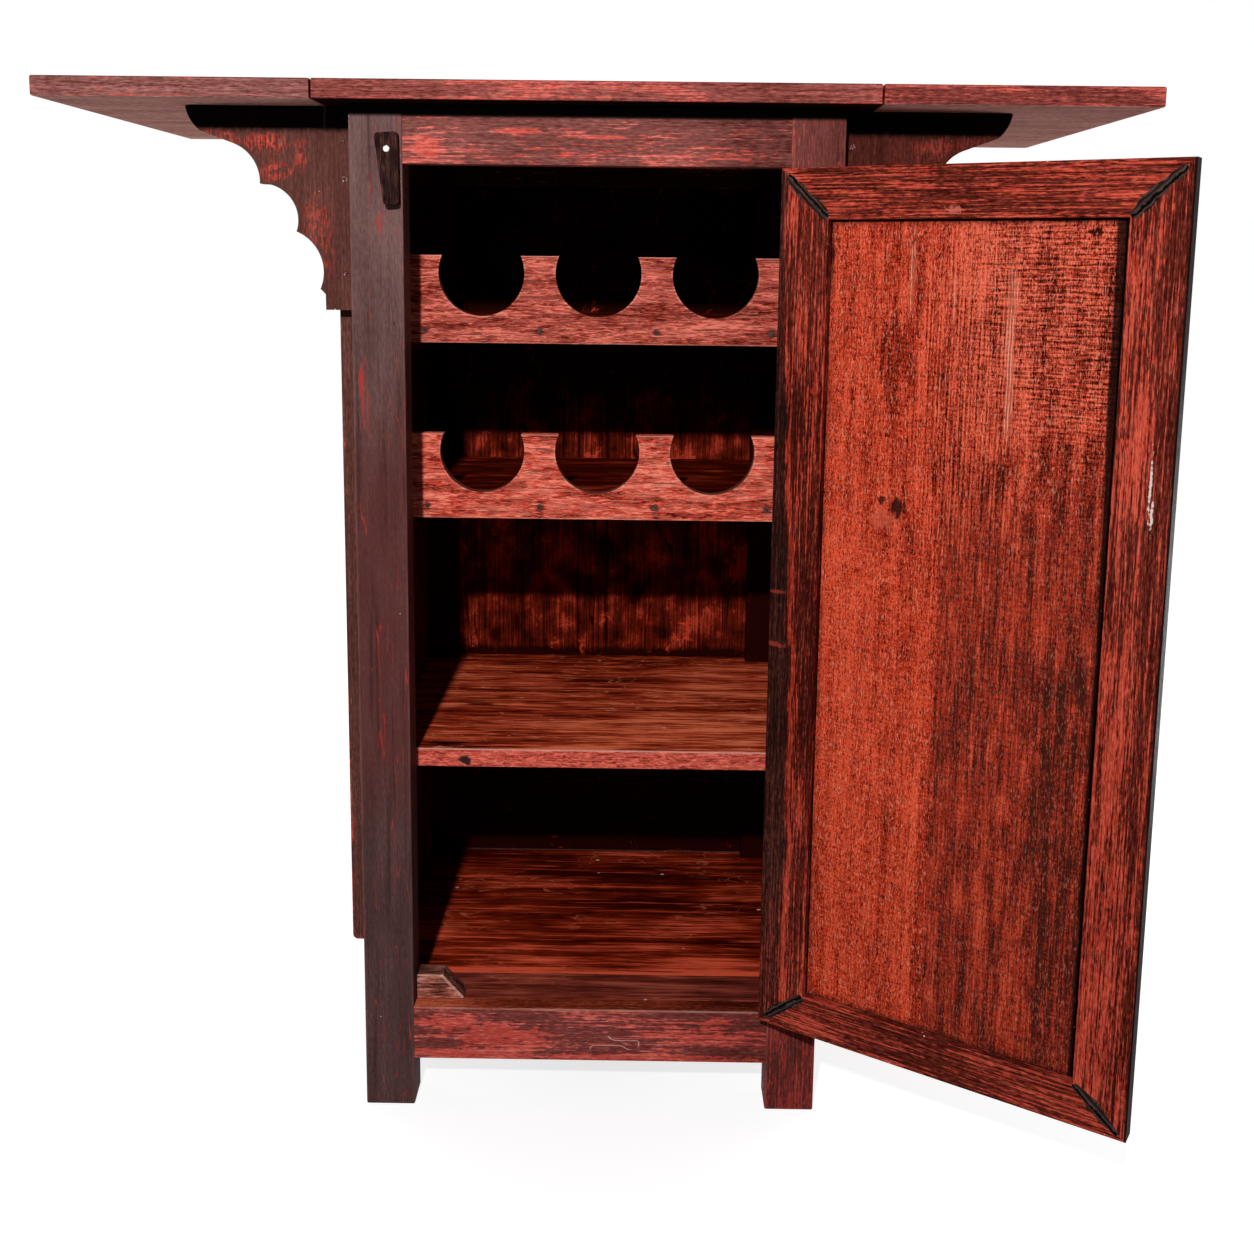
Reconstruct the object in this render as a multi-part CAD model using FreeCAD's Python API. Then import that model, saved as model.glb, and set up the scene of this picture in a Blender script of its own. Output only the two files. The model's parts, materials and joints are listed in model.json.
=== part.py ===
import FreeCAD, Part
import math
import os
from FreeCAD import Placement, Rotation, Vector

# Wine cabinet with a mitred frame door, two bottle racks, a fold-over top and swing-out gate brackets.
# Millimetres. X runs to the viewer's right, Y to the back and Z up. While the pieces are made, x is 0 on the
# middle of the cabinet, y is 0 on the front of the legs and z is 0 on the floor.

# Fits
joint_play = 0.2
board_play = 0.5
butt_gap = 0.4
running_gap = 0.6
pin_play = 0.05
knuckle_play = 0.3

# Legs and carcass
carcass_width = 480.0
carcass_depth = 425.0
leg_width = 52.0
leg_depth = 40.0
leg_round = 2.0
foot_height = 53.0
bottom_rail_height = 59.0
top_rail_height = 57.0
rail_thickness = 22.0
rail_setback = 1.5
side_rail_thickness = 20.0
tenon_thickness = 8.0
tenon_length = 26.0
side_tenon_length = 20.0
tenon_shoulder = 10.0
edge_round = 1.2

# Panels held by a tongue in a groove
tongue_thickness = 6.0
tongue_length = 8.0
side_panel_thickness = 14.0
back_board_thickness = 12.0
back_board_inset = 7.0
back_seam_left = -34.0
back_seam_right = 3.0
back_lap = 8.0

# Top boards
overall_height = 1067.0
top_thickness = 19.0
top_depth = 470.0
top_front_overhang = 30.0
centre_top_width = 536.0
leaf_width = 263.0
seam_gap = 2.4
top_edge_round = 2.2
seam_ease = 0.6

# Deck, plain shelf and their cleats
deck_thickness = 16.0
deck_seam_y = 76.0
shelf_above_deck = 272.0
shelf_thickness = 20.0
shelf_front_y = 46.0
cleat_size = 18.0

# Bottle racks
cradle_front_y = 93.0
cradle_thickness = 14.0
cradle_height = 91.0
rack_headroom = 86.5
rack_spacing = 187.5
bottle_count = 3
bottle_pitch = 122.5
bottle_cut_radius = 45.0
bottle_cut_drop = 18.0
rack_shelf_thickness = 18.0
rack_shelf_lift = 4.0
nail_head_radius = 2.5
nail_head_depth = 1.2
nail_shank_radius = 1.2
nail_length = 30.0
nail_end_inset = 44.0

# Door
door_side_gap = 2.0
door_top_gap = 2.0
door_bottom_gap = 5.0
door_thickness = 19.0
door_stile_width = 50.0
door_top_rail_width = 48.0
door_bottom_rail_width = 42.0
door_panel_thickness = 10.0
door_panel_outer_recess = 2.0
door_panel_gap = 1.6
door_panel_shrinkage = 2.0
door_open_angle = 148.0
door_hinge_length = 64.0
door_hinge_from_end = 92.0
door_axis_forward = 3.0

# Knob on the outer face of the door
knob_below_door_top = 299.0
knob_head_radius = 14.0
knob_neck_radius = 6.5
knob_foot_radius = 9.0
knob_length = 25.0
knob_waist = 11.0
knob_belly = 18.0
knob_cap_radius = 9.0
knob_cap_rise = 1.3
knob_tenon_radius = 4.5
knob_tenon_length = 14.0

# Stop block on the deck
stop_width = 52.0
stop_top_width = 28.0
stop_height = 27.0
stop_depth = 23.0

# Turn button on the left front leg
button_length = 69.0
button_top_width = 23.0
button_bottom_width = 15.0
button_thickness = 11.0
button_above_pivot = 16.0
button_corner_round = 4.0
button_from_leg_edge = 13.0
button_pivot_above_opening = 13.0
button_rest_tilt = 4.0
button_screw_radius = 2.0
button_screw_depth = 22.0
button_head_radius = 3.4
button_head_height = 2.2
button_head_round = 1.7

# Gate post and scalloped bracket
post_width = 22.0
post_depth = 28.0
post_bottom_z = 162.0
post_side_gap = 0.5
post_corner_round = 6.0
bracket_front_y = 34.0
bracket_thickness = 18.0
bracket_screw_downs = (34.0, 70.0, 163.0)
bracket_screw_radius = 1.75
bracket_screw_head_radius = 3.0
bracket_screw_head_depth = 1.5
bracket_screw_length = 36.0
gate_hinge_length = 60.0
gate_hinge_above_foot = 88.0
gate_hinge_below_top = 287.4

# Scalloped edge of the bracket, as out from the cabinet's side and down from the bracket's top
nose_top = (167.5, 0.0)
nose_middle = (163.0, 13.5)
nose_end = (153.8, 24.0)
slope_end = (120.0, 36.5)
scallop_one_middle = (101.7, 51.7)
scallop_one_end = (95.7, 75.0)
scallop_two_middle = (66.5, 87.5)
scallop_two_end = (60.4, 121.6)
scallop_three_middle = (39.5, 140.0)
scallop_three_end = (37.7, 178.0)
bracket_foot_top = (32.5, 183.5)
bracket_foot_bottom = (32.5, 199.0)

# Butt hinges, all of one section
plate_thickness = 1.6
plate_width = 18.0
plate_offset = 0.3
knuckle_radius = 3.0
pin_radius = 1.5
knuckle_count = 3
leaf_hinge_length = 56.0
leaf_hinge_from_end = 80.0

# Places worked out from the sizes above
half_width = carcass_width / 2
opening_half = half_width - leg_width
rail_bottom_top_z = foot_height + bottom_rail_height
top_under_z = overall_height - top_thickness
opening_top_z = top_under_z - top_rail_height
rear_leg_y = carcass_depth - leg_depth
rail_back_y = rail_setback + rail_thickness
rear_rail_y = carcass_depth - rail_setback - rail_thickness
back_inner_y = carcass_depth - back_board_inset - back_board_thickness
panel_inner_x = half_width - side_panel_thickness
side_rail_inner_x = half_width - side_rail_thickness
top_front_y = -top_front_overhang
top_back_y = top_front_y + top_depth
seam_x = centre_top_width / 2 + seam_gap / 2
groove_depth = tongue_length + joint_play
groove_half = tongue_thickness / 2 + joint_play
shelf_top_z = rail_bottom_top_z + shelf_above_deck
cradle_back_y = cradle_front_y + cradle_thickness
upper_cradle_z = opening_top_z - rack_headroom - cradle_height
lower_cradle_z = upper_cradle_z - rack_spacing

door_half = opening_half - door_side_gap
door_bottom_z = rail_bottom_top_z + door_bottom_gap
door_top_z = opening_top_z - door_top_gap
knob_height = door_top_z - knob_below_door_top
door_axis = Vector(opening_half - door_side_gap / 2, -door_axis_forward, 0)

# The open door reaches furthest forward at the inner corner of its free edge
door_reach = door_axis.x + door_half
swing = math.radians(180.0 - door_open_angle)
door_inner_offset = door_thickness + door_axis_forward
front_reach_y = -door_axis_forward - door_reach * math.sin(swing) - door_inner_offset * math.cos(swing)
origin_y = (front_reach_y + top_back_y) / 2


def block(x0, x1, y0, y1, z0, z1):
    """Box between two corners."""
    return Part.makeBox(x1 - x0, y1 - y0, z1 - z0, Vector(x0, y0, z0))


def rod(base, direction, radius, length):
    """Round bar from a base point along a direction."""
    return Part.makeCylinder(radius, length, base, direction)


def edges_along(shape, axis):
    """Straight edges of a shape that run along one axis."""
    found = []
    for edge in shape.Edges:
        run = edge.Vertexes[-1].Point - edge.Vertexes[0].Point
        if run.Length > 0 and abs(run.dot(axis)) > 0.999 * run.Length:
            found.append(edge)
    return found


def eased(shape, radius, axis=None):
    """Shape with its edges rounded, all of them or only those along one axis."""
    return shape.makeFillet(radius, shape.Edges if axis is None else edges_along(shape, axis))


def mirrored(shape):
    """The same piece for the other side of the cabinet."""
    return shape.mirror(Vector(0, 0, 0), Vector(1, 0, 0))


def save(node, *solids):
    """Write one node with the origin moved under the middle of the cabinet as it stands open."""
    shape = solids[0] if len(solids) == 1 else Part.makeCompound(list(solids))
    shape = shape.copy()
    shape.translate(Vector(0, -origin_y, 0))
    shape.exportStep("parts/" + node + ".step")


def prism(points, y0, y1):
    """Flat outline of (x, z) points carried from y0 to y1."""
    corners = [Vector(x, y0, z) for x, z in points]
    face = Part.Face(Part.makePolygon(corners + corners[:1]))
    return face.extrude(Vector(0, y1 - y0, 0))


def butt_hinge(length, open_angle):
    """Fixed plate, moving plate and pin about the local Z axis; closed, both plates lie along local +X."""
    step = length / knuckle_count
    bore = rod(Vector(0, 0, 0), Vector(0, 0, 1), pin_radius + pin_play, length)
    halves = []
    for half, side in ((0, -1), (1, 1)):
        low = min(side * plate_offset, side * (plate_offset + plate_thickness))
        plate = block(0, plate_width, low, low + plate_thickness, 0, length)
        knuckles = []
        for index in range(knuckle_count):
            if index % 2 == half:
                start = index * step + (knuckle_play / 2 if index > 0 else 0)
                end = (index + 1) * step - (knuckle_play / 2 if index < knuckle_count - 1 else 0)
                knuckles.append(rod(Vector(0, 0, start), Vector(0, 0, 1), knuckle_radius, end - start))
            else:
                start = index * step - knuckle_play / 2
                room = rod(Vector(0, 0, start), Vector(0, 0, 1), knuckle_radius + knuckle_play,
                           step + knuckle_play)
                plate = plate.cut(room)
        halves.append(plate.multiFuse(knuckles).cut(bore).removeSplitter())
    fixed, moving = halves
    moving.rotate(Vector(0, 0, 0), Vector(0, 0, 1), open_angle)
    pin = rod(Vector(0, 0, 0), Vector(0, 0, 1), pin_radius, length)
    return fixed, moving, pin


def hinge_room(length):
    """Space that both knuckles and both plates of a closed hinge take up, for letting it into the wood."""
    knuckles = rod(Vector(0, 0, 0), Vector(0, 0, 1), knuckle_radius + knuckle_play, length)
    reach = plate_offset + plate_thickness
    return knuckles.fuse(block(0, plate_width, -reach, reach, 0, length))


def placed(shape, base, x_axis, y_axis):
    """Shape moved from its local frame to a base point and two directions."""
    moved = shape.copy()
    turned = Rotation(x_axis, y_axis, x_axis.cross(y_axis), "XYZ")
    moved.Placement = Placement(base, turned).multiply(shape.Placement)
    return moved


os.makedirs("parts", exist_ok=True)
X = Vector(1, 0, 0)
Y = Vector(0, 1, 0)
Z = Vector(0, 0, 1)


# Tenons of the rails, used to cut their mortises with a little play
def front_rail_solids(z0, height, y0):
    """Rail between two legs with a tenon at each end, and the mortise space it needs."""
    body = eased(block(-opening_half, opening_half, y0, y0 + rail_thickness, z0, z0 + height), edge_round, X)
    middle = y0 + rail_thickness / 2
    half = tenon_thickness / 2
    reach = opening_half + tenon_length
    low, high = z0 + tenon_shoulder, z0 + height - tenon_shoulder
    tenon = block(-reach, reach, middle - half, middle + half, low, high)
    play = joint_play
    mortise = block(-reach - play, reach + play, middle - half - play, middle + half + play,
                    low - play, high + play)
    return body.fuse(tenon).removeSplitter(), mortise


def left_rail_solids(z0, height):
    """Side rail between the front and rear legs with a tenon at each end, and its mortise space."""
    x0 = -half_width
    body = eased(block(x0, x0 + side_rail_thickness, leg_depth, rear_leg_y, z0, z0 + height), edge_round, Y)
    middle = x0 + side_rail_thickness / 2
    half = tenon_thickness / 2
    low, high = z0 + tenon_shoulder, z0 + height - tenon_shoulder
    front, back = leg_depth - side_tenon_length, rear_leg_y + side_tenon_length
    tenon = block(middle - half, middle + half, front, back, low, high)
    play = joint_play
    mortise = block(middle - half - play, middle + half + play, front - play, back + play,
                    low - play, high + play)
    return body.fuse(tenon).removeSplitter(), mortise


front_top_rail, front_top_mortise = front_rail_solids(opening_top_z, top_rail_height, rail_setback)
front_bottom_rail, front_bottom_mortise = front_rail_solids(foot_height, bottom_rail_height, rail_setback)
rear_top_rail, rear_top_mortise = front_rail_solids(opening_top_z, top_rail_height, rear_rail_y)
rear_bottom_rail, rear_bottom_mortise = front_rail_solids(foot_height, bottom_rail_height, rear_rail_y)
left_top_rail, left_top_mortise = left_rail_solids(opening_top_z, top_rail_height)
left_bottom_rail, left_bottom_mortise = left_rail_solids(foot_height, bottom_rail_height)

# Side panel, flush outside, with its tongue in the legs and the side rails
panel_middle_x = -half_width + side_panel_thickness / 2
side_body = block(-half_width, -panel_inner_x, leg_depth, rear_leg_y, rail_bottom_top_z, opening_top_z)
side_tongue = block(panel_middle_x - tongue_thickness / 2, panel_middle_x + tongue_thickness / 2,
                    leg_depth - tongue_length, rear_leg_y + tongue_length,
                    rail_bottom_top_z - tongue_length, opening_top_z + tongue_length)
side_groove = block(panel_middle_x - groove_half, panel_middle_x + groove_half,
                    leg_depth - groove_depth, rear_leg_y + groove_depth,
                    rail_bottom_top_z - groove_depth, opening_top_z + groove_depth)
left_side_panel = side_body.fuse(side_tongue).removeSplitter()

# Back boards, three planks with tongues in the rear legs and rails, half-lapped where they meet
back_middle_y = back_inner_y + back_board_thickness / 2
back_groove = block(-opening_half - groove_depth, opening_half + groove_depth,
                    back_middle_y - groove_half, back_middle_y + groove_half,
                    rail_bottom_top_z - groove_depth, opening_top_z + groove_depth)


def back_board(x0, x1, tongue_left, tongue_right):
    """Vertical plank with tongues top and bottom and at the edge that meets a leg. Its other edges are half the
    board thick: the right one laps behind the next plank, whose left one is rebated for it."""
    back_outer_y = back_inner_y + back_board_thickness
    body = block(x0, x1, back_inner_y, back_outer_y, rail_bottom_top_z, opening_top_z)
    tongue = block(x0 - tongue_left, x1 + tongue_right,
                   back_middle_y - tongue_thickness / 2, back_middle_y + tongue_thickness / 2,
                   rail_bottom_top_z - tongue_length, opening_top_z + tongue_length)
    board = body.fuse(tongue)
    if not tongue_right:
        board = board.fuse(block(x1, x1 + back_lap, back_middle_y + joint_play, back_outer_y,
                                 rail_bottom_top_z, opening_top_z))
    if not tongue_left:
        board = board.cut(block(x0, x0 + back_lap, back_middle_y, back_outer_y, 0, overall_height))
    return board.removeSplitter()


save("left_back_board", back_board(-opening_half, back_seam_left - butt_gap / 2, tongue_length, 0))
save("middle_back_board", back_board(back_seam_left + butt_gap / 2, back_seam_right - butt_gap / 2, 0, 0))
save("right_back_board", back_board(back_seam_right + butt_gap / 2, opening_half, 0, tongue_length))

# Screw of the turn button, driven through the button into the left front leg
pivot = Vector(-opening_half - button_from_leg_edge, 0, opening_top_z + button_pivot_above_opening)
button_front_y = -running_gap - button_thickness
screw_seat = pivot + Vector(0, button_front_y - running_gap / 2, 0)
screw_head = rod(screw_seat, -Y, button_head_radius, button_head_height)
screw_rim = min(screw_head.Edges, key=lambda edge: edge.CenterOfMass.y)
screw_head = screw_head.makeFillet(button_head_round, [screw_rim])
screw_shank = rod(pivot + Vector(0, button_screw_depth, 0), -Y, button_screw_radius,
                  button_screw_depth - button_front_y + running_gap / 2)
save("turn_button_screw", screw_head.fuse(screw_shank).removeSplitter())

# Door hinges are let into the right front leg and the door's hinge stile
door_hinge_bases = []
for base_z in (door_bottom_z + door_hinge_from_end - door_hinge_length / 2,
               door_top_z - door_hinge_from_end - door_hinge_length / 2):
    door_hinge_bases.append(door_axis + Vector(0, 0, base_z))
door_hinge_rooms = [placed(hinge_room(door_hinge_length), base, Y, -X) for base in door_hinge_bases]

# Legs: square posts with rounded arrises, mortised for the rails and grooved for the panels
front_cuts = [front_top_mortise, front_bottom_mortise]
rear_cuts = [rear_top_mortise, rear_bottom_mortise, back_groove]
side_cuts = [left_top_mortise, left_bottom_mortise, side_groove]


def left_leg(y0):
    """Leg blank, rounded along its length and round its foot."""
    blank = block(-half_width, -opening_half, y0, y0 + leg_depth, 0, top_under_z)
    foot = [edge for edge in blank.Edges if max(v.Z for v in edge.Vertexes) < 1]
    return blank.makeFillet(leg_round, edges_along(blank, Z) + foot)


front_leg = left_leg(0).cut(side_cuts + front_cuts)
rear_leg = left_leg(rear_leg_y).cut(side_cuts + rear_cuts)
save("left_front_leg", front_leg.cut(screw_shank))
save("right_front_leg", mirrored(front_leg).cut(door_hinge_rooms))
save("left_rear_leg", rear_leg)
save("right_rear_leg", mirrored(rear_leg))

# Rails
save("front_top_rail", front_top_rail.cut(screw_shank))
save("front_bottom_rail", front_bottom_rail)
save("rear_top_rail", rear_top_rail.cut(back_groove))
save("rear_bottom_rail", rear_bottom_rail.cut(back_groove))
for node, rail in (("top_rail", left_top_rail), ("bottom_rail", left_bottom_rail)):
    grooved = rail.cut(side_groove)
    save("left_" + node, grooved)
    save("right_" + node, mirrored(grooved))


def notched(shape):
    """Board with its rear corners cut out round the rear legs."""
    reach = half_width
    inner = opening_half - board_play
    front = rear_leg_y - board_play
    for x0, x1 in ((-reach, -inner), (inner, reach)):
        shape = shape.cut(block(x0, x1, front, carcass_depth, 0, overall_height))
    return shape


# Deck boards between the side rails, flush with the top of the bottom rail
deck_half = side_rail_inner_x - board_play
deck_z = rail_bottom_top_z - deck_thickness
front_deck = block(-deck_half, deck_half, rail_back_y, deck_seam_y - butt_gap / 2, deck_z, rail_bottom_top_z)
leg_corner_x = opening_half - board_play
leg_corner_y = leg_depth + board_play
for x0, x1 in ((-half_width, -leg_corner_x), (leg_corner_x, half_width)):
    front_deck = front_deck.cut(block(x0, x1, 0, leg_corner_y, 0, overall_height))
save("front_deck_board", front_deck)
main_deck = block(-deck_half, deck_half, deck_seam_y + butt_gap / 2, rear_rail_y, deck_z, rail_bottom_top_z)
save("main_deck_board", notched(main_deck))


def cleat_pair(x, y0, top_z):
    """Two square battens under a board, one on each side of the cabinet."""
    left = block(-x, -x + cleat_size, y0, rear_leg_y - board_play, top_z - cleat_size, top_z)
    return [left, mirrored(left)]


save("deck_cleats", *cleat_pair(side_rail_inner_x, leg_corner_y, deck_z))

# Plain shelf on its cleats
board_half = panel_inner_x - board_play
shelf_under_z = shelf_top_z - shelf_thickness
shelf = block(-board_half, board_half, shelf_front_y, back_inner_y, shelf_under_z, shelf_top_z)
save("plain_shelf", notched(eased(shelf, edge_round, X)))
save("shelf_cleats", *cleat_pair(panel_inner_x, shelf_front_y + board_play, shelf_under_z))

# Bottle racks: a cradle board with round cut-outs, nailed to the front edge of a shelf on cleats
nail_places = []
for index in range(bottle_count - 1):
    nail_places.append((index - (bottle_count - 2) / 2) * bottle_pitch)
nail_places += [-board_half + nail_end_inset, board_half - nail_end_inset]
nails = []
rack_cleats = []
for rack, cradle_z in (("upper", upper_cradle_z), ("lower", lower_cradle_z)):
    cradle_top = cradle_z + cradle_height
    cradle = block(-board_half, board_half, cradle_front_y, cradle_back_y, cradle_z, cradle_top)
    cut_z = cradle_top - bottle_cut_drop
    for index in range(bottle_count):
        cut_x = (index - (bottle_count - 1) / 2) * bottle_pitch
        cradle = cradle.cut(rod(Vector(cut_x, cradle_front_y, cut_z), Y, bottle_cut_radius, cradle_thickness))
    rack_z = cradle_z + rack_shelf_lift
    rack_top = rack_z + rack_shelf_thickness
    rack_shelf = notched(block(-board_half, board_half, cradle_back_y, back_inner_y, rack_z, rack_top))
    rack_nails = []
    for nail_x in nail_places:
        start = Vector(nail_x, cradle_front_y, rack_z + rack_shelf_thickness / 2)
        head = rod(start, Y, nail_head_radius, nail_head_depth)
        rack_nails.append(head.fuse(rod(start, Y, nail_shank_radius, nail_length)).removeSplitter())
    save(rack + "_bottle_cradle", cradle.cut(rack_nails))
    save(rack + "_rack_shelf", rack_shelf.cut(rack_nails))
    nails += rack_nails
    rack_cleats += cleat_pair(panel_inner_x, cradle_back_y + board_play, rack_z)
save("rack_nails", *nails)
save("rack_cleats", *rack_cleats)

# Stop block at the door's free corner, its long side bevelled
stop_x = -opening_half + board_play
stop_y = door_thickness + board_play
stop_top_z = rail_bottom_top_z + stop_height
stop_outline = [(stop_x, rail_bottom_top_z), (stop_x + stop_width, rail_bottom_top_z),
                (stop_x + stop_top_width, stop_top_z), (stop_x, stop_top_z)]
save("door_stop_block", eased(prism(stop_outline, stop_y, stop_y + stop_depth), edge_round))

# Top: a fixed centre board and two leaves that fold over onto it
leaf_hinge_bases = []
for base_y in (top_front_y + leaf_hinge_from_end + leaf_hinge_length / 2,
               top_back_y - leaf_hinge_from_end + leaf_hinge_length / 2):
    leaf_hinge_bases.append(Vector(-seam_x, base_y, overall_height + plate_offset))
leaf_fixed, leaf_moving, leaf_pin = butt_hinge(leaf_hinge_length, 180)
leaf_hinge_sets = []
for solid in (leaf_fixed, leaf_moving, leaf_pin):
    leaf_hinge_sets.append([placed(solid, base, X, Z) for base in leaf_hinge_bases])
left_plates, left_leaf_plates, left_leaf_pins = leaf_hinge_sets
open_room = hinge_room(leaf_hinge_length).fuse(
    block(-plate_width, 0, -plate_offset - plate_thickness, 0, 0, leaf_hinge_length))
leaf_rooms = [placed(open_room, base, X, Z) for base in leaf_hinge_bases]


def top_board(x0, x1, seam_sides):
    """Board with rounded outer arrises and barely eased arrises along its seams."""
    board = block(x0, x1, top_front_y, top_back_y, top_under_z, overall_height)

    def from_seam(edge):
        return min(abs(v.X - seam) for v in edge.Vertexes for seam in seam_sides)

    seams = [edge for edge in edges_along(board, Y) if from_seam(edge) < seam_ease]
    board = board.makeChamfer(seam_ease, seams)
    outer = edges_along(board, X)
    for axis in (Y, Z):
        outer += [edge for edge in edges_along(board, axis) if from_seam(edge) > 2 * seam_ease]
    return board.makeFillet(top_edge_round, outer)


centre_half = centre_top_width / 2
centre_top = top_board(-centre_half, centre_half, [-centre_half, centre_half])
centre_top = centre_top.cut(leaf_rooms + [mirrored(room) for room in leaf_rooms])
save("centre_top_board", centre_top)
leaf_inner_x = centre_half + seam_gap
left_leaf = top_board(-leaf_inner_x - leaf_width, -leaf_inner_x, [-leaf_inner_x]).cut(leaf_rooms)
save("left_leaf_board", left_leaf)
save("right_leaf_board", mirrored(left_leaf))
save("left_leaf_hinge_plates", *left_leaf_plates)
save("right_leaf_hinge_plates", *[mirrored(plate) for plate in left_leaf_plates])
save("top_hinge_plates", *(left_plates + [mirrored(plate) for plate in left_plates]))
save("top_hinge_pins", *(left_leaf_pins + [mirrored(pin) for pin in left_leaf_pins]))

# Gate: a post hinged to the cabinet's side, with a scalloped bracket screwed to its front
post_inner_x = -half_width - post_side_gap
post_front_y = bracket_front_y + bracket_thickness
post_back_y = post_front_y + post_depth
gate_top_z = top_under_z - running_gap
gate_hinge_reach = plate_thickness + plate_offset
gate_axis = Vector(-half_width - gate_hinge_reach, post_back_y + gate_hinge_reach, 0)
gate_fixed, gate_moving, gate_pin = butt_hinge(gate_hinge_length, 90)
gate_hinge_heights = (post_bottom_z + gate_hinge_above_foot, gate_top_z - gate_hinge_below_top)
gate_bases = [gate_axis + Vector(0, 0, height - gate_hinge_length / 2) for height in gate_hinge_heights]
gate_sets = []
for solid in (gate_fixed, gate_moving, gate_pin):
    gate_sets.append([placed(solid, base, Y, -X) for base in gate_bases])
gate_plates, post_plates, gate_pins = gate_sets
gate_knuckle_rooms = [rod(base, Z, knuckle_radius + knuckle_play, gate_hinge_length) for base in gate_bases]

post = block(post_inner_x - post_width, post_inner_x, post_front_y, post_back_y, post_bottom_z, gate_top_z)
post_outer_x = post_inner_x - post_width / 2
post_foot = [edge for edge in edges_along(post, Y)
             if edge.Vertexes[0].X < post_outer_x and edge.Vertexes[0].Z < post_bottom_z + post_depth]
post = post.makeFillet(post_corner_round, post_foot)
post_arrises = [edge for edge in edges_along(post, Z) if edge.Vertexes[0].X < post_outer_x]
post = post.makeFillet(edge_round, post_arrises)


def scallop(point):
    """Point of the bracket's edge, from its place out from the side and down from the top."""
    out, down = point
    return Vector(-half_width - out, bracket_front_y, gate_top_z - down)


inner_top = Vector(post_inner_x, bracket_front_y, gate_top_z)
inner_bottom = Vector(post_inner_x, bracket_front_y, gate_top_z - bracket_foot_bottom[1])
bracket_edges = [
    Part.LineSegment(inner_top, scallop(nose_top)),
    Part.Arc(scallop(nose_top), scallop(nose_middle), scallop(nose_end)),
    Part.LineSegment(scallop(nose_end), scallop(slope_end)),
    Part.Arc(scallop(slope_end), scallop(scallop_one_middle), scallop(scallop_one_end)),
    Part.Arc(scallop(scallop_one_end), scallop(scallop_two_middle), scallop(scallop_two_end)),
    Part.Arc(scallop(scallop_two_end), scallop(scallop_three_middle), scallop(scallop_three_end)),
    Part.LineSegment(scallop(scallop_three_end), scallop(bracket_foot_top)),
    Part.LineSegment(scallop(bracket_foot_top), scallop(bracket_foot_bottom)),
    Part.LineSegment(scallop(bracket_foot_bottom), inner_bottom),
    Part.LineSegment(inner_bottom, inner_top),
]
bracket_face = Part.Face(Part.Wire([edge.toShape() for edge in bracket_edges]))
bracket = bracket_face.extrude(Vector(0, bracket_thickness, 0))
gate_screws = []
for down in bracket_screw_downs:
    start = Vector(post_inner_x - post_width / 2, bracket_front_y, gate_top_z - down)
    head = rod(start, Y, bracket_screw_head_radius, bracket_screw_head_depth)
    shank = rod(start, Y, bracket_screw_radius, bracket_screw_length)
    gate_screws.append(head.fuse(shank).removeSplitter())
post = post.cut(gate_knuckle_rooms + gate_screws)
bracket = bracket.cut(gate_screws)
for side in ("left", "right"):
    turn = mirrored if side == "right" else Part.Shape.copy
    save(side + "_gate_post", turn(post))
    save(side + "_gate_bracket", turn(bracket))
    save(side + "_gate_screws", *[turn(screw) for screw in gate_screws])
    save(side + "_gate_hinge_plates", *[turn(plate) for plate in post_plates])
    save(side + "_side_panel", turn(left_side_panel.cut(gate_knuckle_rooms)))
save("side_hinge_plates", *(gate_plates + [mirrored(plate) for plate in gate_plates]))
save("side_hinge_pins", *(gate_pins + [mirrored(pin) for pin in gate_pins]))

# Door: mitred frame round a panel held by its tongue, made closed and then swung open. The panel has shrunk,
# so its gap is wider beside the free stile.
inner_half = door_half - door_stile_width
inner_low = door_bottom_z + door_bottom_rail_width
inner_high = door_top_z - door_top_rail_width
outer_corners = [(-door_half, door_bottom_z), (door_half, door_bottom_z), (door_half, door_top_z),
                 (-door_half, door_top_z)]
inner_corners = [(-inner_half, inner_low), (inner_half, inner_low), (inner_half, inner_high),
                 (-inner_half, inner_high)]
panel_y0 = door_panel_outer_recess
panel_y1 = panel_y0 + door_panel_thickness
panel_middle_y = (panel_y0 + panel_y1) / 2
door_groove = block(-inner_half - groove_depth, inner_half + groove_depth,
                    panel_middle_y - groove_half, panel_middle_y + groove_half,
                    inner_low - groove_depth, inner_high + groove_depth)
door_panel = block(-inner_half + door_panel_gap + door_panel_shrinkage, inner_half - door_panel_gap,
                   panel_y0, panel_y1, inner_low + door_panel_gap, inner_high - door_panel_gap)
door_tongue = block(-inner_half - tongue_length + door_panel_shrinkage, inner_half + tongue_length,
                    panel_middle_y - tongue_thickness / 2, panel_middle_y + tongue_thickness / 2,
                    inner_low - tongue_length, inner_high + tongue_length)
door_panel = door_panel.fuse(door_tongue).removeSplitter()

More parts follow.
